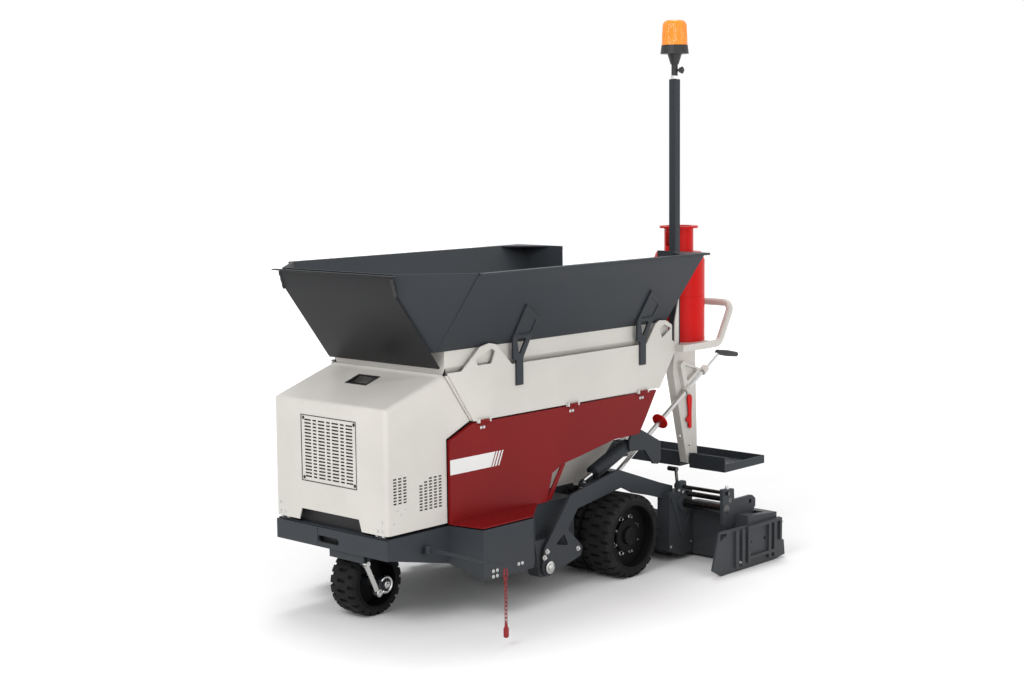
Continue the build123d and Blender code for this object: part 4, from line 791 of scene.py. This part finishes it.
# %% [markdown]
# ## Plate bolts, pins and welds
#
# Bright bolts dot the dark plates: on the knee boxes, at the tow arms' pins, along the legs and on
# the end plates. The hopper's corners are welded, so a thin uneven bead follows each of them.

# %% Bolts on the plates
knee = [(x, 412, z) for x in (744, 725) for z in (168, 149.5)] + [(620, 412, 169), (602, 412, 169)]
bolts("knee_box_bolts", "machine", knee, 4.2, 4)
bolts("tow_pin_caps", "machine", [(386, 346, 101)], 15, 9)
bolts("tow_arm_bolts", "screed", [(395, 340, 158), (409, 340, 139), (231, 340, 140)], 6.5, 8)
bracket = [(-312, 375, 267), (-337, 375, 256), (-388, 375, 60), (-264, 375, 60)]
bolts("bracket_bolts", "screed", bracket, 4.5, 4)
for hand, side in SIDES:
    rows = [(-335, 641, 30), (-548, 641, 123), (-549, 641, 84), (-599, 641, 138), (-551, 641, 50)]
    rows = [(x, side * y, z) for x, y, z in rows]
    bolts(f"end_plate_bolts_{hand}", f"extension_{hand}", rows, 5, 7, direction=(0, side, 0))
    bolts(f"post_bolt_{hand}", f"extension_{hand}", [(-350, side * 567, 294)], 6, 10, direction=(0, 0, 1))
leg = [(-612, 167, 683), (-627, 167, 657), (-590, 167, 414), (-653, 167, 373)]
bolts("leg_bolts", "machine", leg, 4.5, 4)


# %% Weld beads
def bead(points, radius=0.0028):
    """A weld: a tube whose radius swells and shrinks along its run like a row of overlapping drops."""
    points = np.asarray(points, float)
    length = np.linalg.norm(points[1] - points[0])
    s = np.linspace(0, 1, max(8, int(length / 0.004)))
    path = points[0] + s[:, None] * (points[1] - points[0])
    return tube(path, radius * (1 + 0.16 * np.sin(s * length / 0.0075 * 2 * np.pi)), 8)


seams = []
for _, side in SIDES:
    low_corner, rim_corner = (850, side * 274, 897), (840, side * 460, 1156)
    low_nose, fold_nose = (881, side * 253, 897), (1026, side * 263, 1088)
    seams += [bead(spots([low_corner, rim_corner])), bead(spots([low_nose, fold_nose]))]
piece("hopper_welds", join(*seams), slate_paint, "machine", "slate_paint")

# %% [markdown]
# ## Rear controls
#
# Each crank rod ends in a soft black grip, a red lever locks each leg, and the footboard's floor
# is covered with small raised lozenges that keep boots from slipping.

# %% Grips and levers
def grip(start, end, radius):
    """A lathe from start to end whose radius follows a long low swell, closed by rounded ends."""
    start, end = np.asarray(start), np.asarray(end)
    length = np.linalg.norm(end - start)
    s = np.linspace(0, 1, 25)
    rounded = np.sqrt(np.clip(1 - np.clip((0.06 - np.minimum(s, 1 - s)) / 0.06, 0, 1) ** 2, 0.02, 1))
    swell = radius * rounded * (0.90 + 0.10 * np.cos((s - 0.5) * 2 * np.pi))
    return lathe(np.stack([s * length, swell], 1), start, end - start, 24)


grips = [grip(at(-806, side * 184, 729), at(-952, side * 184, 705), 0.0125) for _, side in SIDES]
piece("crank_grip_covers", join(*grips), black_plastic, "machine", "black_plastic", replaces=["crank_grips"])
lever = [(-629, 560), (-633, 572), (-644, 576), (-655, 570), (-658, 556)]
lever += [(-655, 500), (-656, 442), (-646, 438), (-638, 442)]
lever += [(-636, 462), (-624, 470), (-622, 480), (-636, 490), (-635, 520)]
piece("leg_levers", pair(upright(lever, 172, -5)), signal_red, "machine", "signal_red", bevel=0.001)
bolts("lever_bolts", "machine", [(-644, 171, 560)], 5, 5)

# %% Footboard lozenges
row, column = np.meshgrid(np.arange(12), np.arange(32), indexing="ij")
x = -660 - row * 20 - 6
y = -325 + column * 21 + (row % 2) * 10
beside_legs = (np.abs(np.abs(y) - 150) > 34) | (x < -806)
keep = beside_legs & (x > -905) & (np.abs(y) < 332)
places = np.stack([AXLE_X + x * MM, y * MM, np.full(x.shape, 0.2848)], -1)[keep]
lozenge = [(-7, 0, 0), (0, -2.4, 0), (7, 0, 0), (0, 2.4, 0)]
lozenge += [(-3, 0, 1.3), (0, -1, 1.3), (3, 0, 1.3), (0, 1, 1.3)]
raised = copies((np.array(lozenge) * MM, BOX_FACES), places, (0, 0, 1))
piece("footboard_lozenges", raised, slate_paint, "footboard", "slate_paint")

# %% [markdown]
# ## Bottle, beacon and chain
#
# The bottle's valve has a hand wheel whose radius ripples six times round. The beacon's lens is
# ribbed in the same way, with more and finer waves, and the chain is one link copied down its run.

# %% Bottle valve
bottle = at(-545, 196, 0)
stem = [(1.140, 0.016), (1.172, 0.016), (1.174, 0.012), (1.196, 0.012), (1.198, 0.009), (1.204, 0.009)]
valve = lathe(stem, bottle, (0, 0, 1), 24)
wheel_r = 0.020 + 0.0018 * np.cos(6 * np.arange(64) * 2 * np.pi / 64)
hand_wheel = upright_rings(np.outer([0.9, 1, 1, 0.85], wheel_r), [1.204, 1.207, 1.213, 1.216], bottle)
outlet = tube([bottle + (0.0, 0, 1.184), bottle + (0.034, 0, 1.184)], 0.008, 16)
piece("bottle_valve", join(valve, outlet, hand_wheel), worn_steel, "machine", "worn_steel")
seam_z = [(0.975, 0.1), (0.9755, 0.1008), (0.9775, 0.1008), (0.978, 0.1)]
foot = [(0.8045, 0.094), (0.8045, 0.1005), (0.816, 0.1005), (0.818, 0.0995)]
bands = [lathe(rows, bottle, (0, 0, 1), 72) for rows in (seam_z, foot)]
piece("bottle_seams", join(*bands), signal_red, "machine", "signal_red")

# %% Beacon lens: the wall's radius ripples round it, and steps in towards the cap
mast = at(-425, 267, 0)
steps = 144
t = np.arange(steps) * 2 * np.pi / steps
dome = [(1.9265, 0.0480, 0), (1.930, 0.0480, 1), (1.965, 0.0466, 1), (2.000, 0.0448, 1)]
dome += [(2.006, 0.0432, 0.4), (2.012, 0.0392, 0), (2.0165, 0.033, 0), (2.018, 0.024, 0)]
z, r, ripple = np.array(dome).T
radii = r[:, None] - ripple[:, None] * 0.0007 * (1 + np.cos(36 * t))
lens_part = upright_rings(radii, z, mast)
piece("beacon_dome", lens_part, amber_lens, "machine", "amber_lens", replaces=["beacon_lens"])
knob_stem = tube([mast + (0, 0.010, 1.833), mast + (0, 0.034, 1.833)], 0.005, 14)
wing_side = [(0.026, 0.007), (0.028, 0.013), (0.036, 0.014), (0.038, 0.008)]
wings = lathe(wing_side, mast + (0, 0, 1.833), (0, 1, 0), 5)
collar = lathe([(1.8, 0.0145), (1.803, 0.0165), (1.812, 0.0165), (1.815, 0.0135)], mast, (0, 0, 1), 6)
piece("beacon_knob", join(knob_stem, wings), black_plastic, "machine", "black_plastic")
piece("beacon_nut", collar, bright_steel, "machine", "bright_steel")


# %% Chain: every second link is turned a quarter, and a shackle and a weight end it
def link(centre, turned, length, width, thick):
    """A tube round a stadium: two half circles joined by straight sides, in one of two upright planes."""
    a = np.radians(np.concatenate([np.linspace(0, 180, 9), np.linspace(180, 360, 9)]))
    lift = np.where(np.arange(18) < 9, 1, -1) * (length - width) / 2
    across, up = width / 2 * np.cos(a), width / 2 * np.sin(a) + lift
    flat = np.stack([across * (not turned), across * turned, up], 1)
    return closed_tube(centre + flat, thick)


LINK_L, LINK_W, LINK_T = 0.0165, 0.0092, 0.0013
top = at(926, 638, 236)
shackle = link(top + (0, 0, -0.004), False, 0.034, 0.013, 0.0022)
drops = [link(top + (0, 0, -0.026 - n * 0.0125), n % 2, LINK_L, LINK_W, LINK_T) for n in range(12)]
weight_side = [(0.0, 0.0065), (0.003, 0.009), (0.030, 0.009), (0.034, 0.006), (0.046, 0.004)]
weight = lathe(weight_side, at(926, 638, 28), (0, 0, 1), 6)
hanging = join(shackle, *drops, weight)
piece("guide_chain_links", hanging, chain_red, "guide_rod", "signal_red", replaces=["guide_chain"])

# %% [markdown]
# ## Camera, floor and light
#
# The machine stands in a white studio. The camera is where the photographer stood, a little above
# the hopper's rim and off the front left corner. A broad sun lights it from above, and soft boxes
# from the front and the left. The floor glows to the camera far off and keeps the shadow near by.

# %% Camera
def turned(u, v, way, place=(0, 0, 0)):
    """The matrix of an object at a place whose own X, Y and Z point along u, v and way."""
    matrix = np.eye(4)
    matrix[:3] = np.stack([u, v, way, place], 1)
    return Matrix(matrix.tolist())


IMAGE_W = 1024
FOCAL_PX = 1719.62
SENSOR = 36.0
CAMERA = at(4764.6, 4234.4, 1580.0)
RIGHT = np.array([-0.67890665, 0.73414984, -0.01047699])
FORWARD = np.array([-0.72838307, -0.67523308, -0.11626858])
UP = np.cross(RIGHT, FORWARD)

camera_data = bpy.data.cameras.new("camera")
camera_data.sensor_width = SENSOR
camera_data.lens = FOCAL_PX * SENSOR / IMAGE_W
camera = placed("camera", camera_data)
camera.matrix_world = turned(RIGHT, UP, -FORWARD, CAMERA)
bpy.context.scene.camera = camera
print("lens", round(camera_data.lens, 2), "mm")


# %% Floor
def seen_ray(bench):
    """1 for rays from the camera, from a mirror or through glass, and 0 for the light's own bounces."""
    paths = bench.tree.nodes.new("ShaderNodeLightPath")
    kinds = ("Is Camera Ray", "Is Glossy Ray", "Is Transmission Ray")
    seen, mirror, glass = (Wire(bench, paths.outputs[kind]) for kind in kinds)
    return (seen + mirror + glass).low(1.0)


FLOOR_HALF = 14.0
FLOOR_GLOW = 0.35
floor_bench = Bench("studio_floor")
speck = floor_bench.noise(6.0, 2.0)
floor_bench.set(Base_Color=floor_bench.mix(speck, (0.90, 0.90, 0.90), (0.93, 0.93, 0.93)))
floor_bench.set(Roughness=0.9)
floor_bench.set(Specular_IOR_Level=0.0)
far_off = (floor_bench.axis("X") ** 2.0 + floor_bench.axis("Y") ** 2.0) ** 0.5
glow = seen_ray(floor_bench) * far_off.above(FLOOR_HALF * 0.24, FLOOR_HALF * 0.12) * FLOOR_GLOW
floor_bench.set(Emission_Color=floor_bench.mix(glow, (0.0, 0.0, 0.0), (1.0, 1.0, 1.0)))
floor_bench.set(Emission_Strength=1.0)
floor_mesh = bpy.data.meshes.new("floor")
corner = np.array([[-1, -1, 0], [1, -1, 0], [1, 1, 0], [-1, 1, 0]]) * FLOOR_HALF
floor_mesh.from_pydata(corner.tolist(), [], [[0, 1, 2, 3]])
floor_mesh.materials.append(floor_bench.material)
floor = placed("floor", floor_mesh)

# %% Light: the world is white, and dimmer for rays that left a rough surface
bpy.context.scene.view_settings.view_transform = "Standard"
world = bpy.data.worlds.new("studio")
bpy.context.scene.world = world
world.use_nodes = True
sky = world.node_tree.nodes["Background"]
paths = world.node_tree.nodes.new("ShaderNodeLightPath")
bounced = world.node_tree.nodes.new("ShaderNodeMapRange")
WORLD_LIGHT = 0.70
bounced.inputs["To Min"].default_value = 1.0
bounced.inputs["To Max"].default_value = WORLD_LIGHT
world.node_tree.links.new(paths.outputs["Is Diffuse Ray"], bounced.inputs["Value"])
world.node_tree.links.new(bounced.outputs["Result"], sky.inputs["Strength"])
sky.inputs["Color"].default_value = (1.0, 1.0, 1.0, 1.0)


def lamp(name, place, target, size, power):
    """A square soft box at a place, turned to face a target."""
    data = bpy.data.lights.new(name, "AREA")
    data.shape, data.size, data.energy = "SQUARE", size, power
    back = np.asarray(place) - np.asarray(target)
    placed(name, data).matrix_world = turned(*axes_of(back), place)


sun_data = bpy.data.lights.new("overhead", "SUN")
sun_data.energy, sun_data.angle = 1.15, np.radians(24)
placed("overhead", sun_data).matrix_world = turned(*axes_of((-0.30, -0.25, 1.0)))
MIDDLE = at(70, 0, 600)
lamp("front_fill", at(4200, 1000, 3800), MIDDLE, 2.2, 85)
lamp("side_fill", at(700, 5300, 1600), MIDDLE, 3.0, 50)
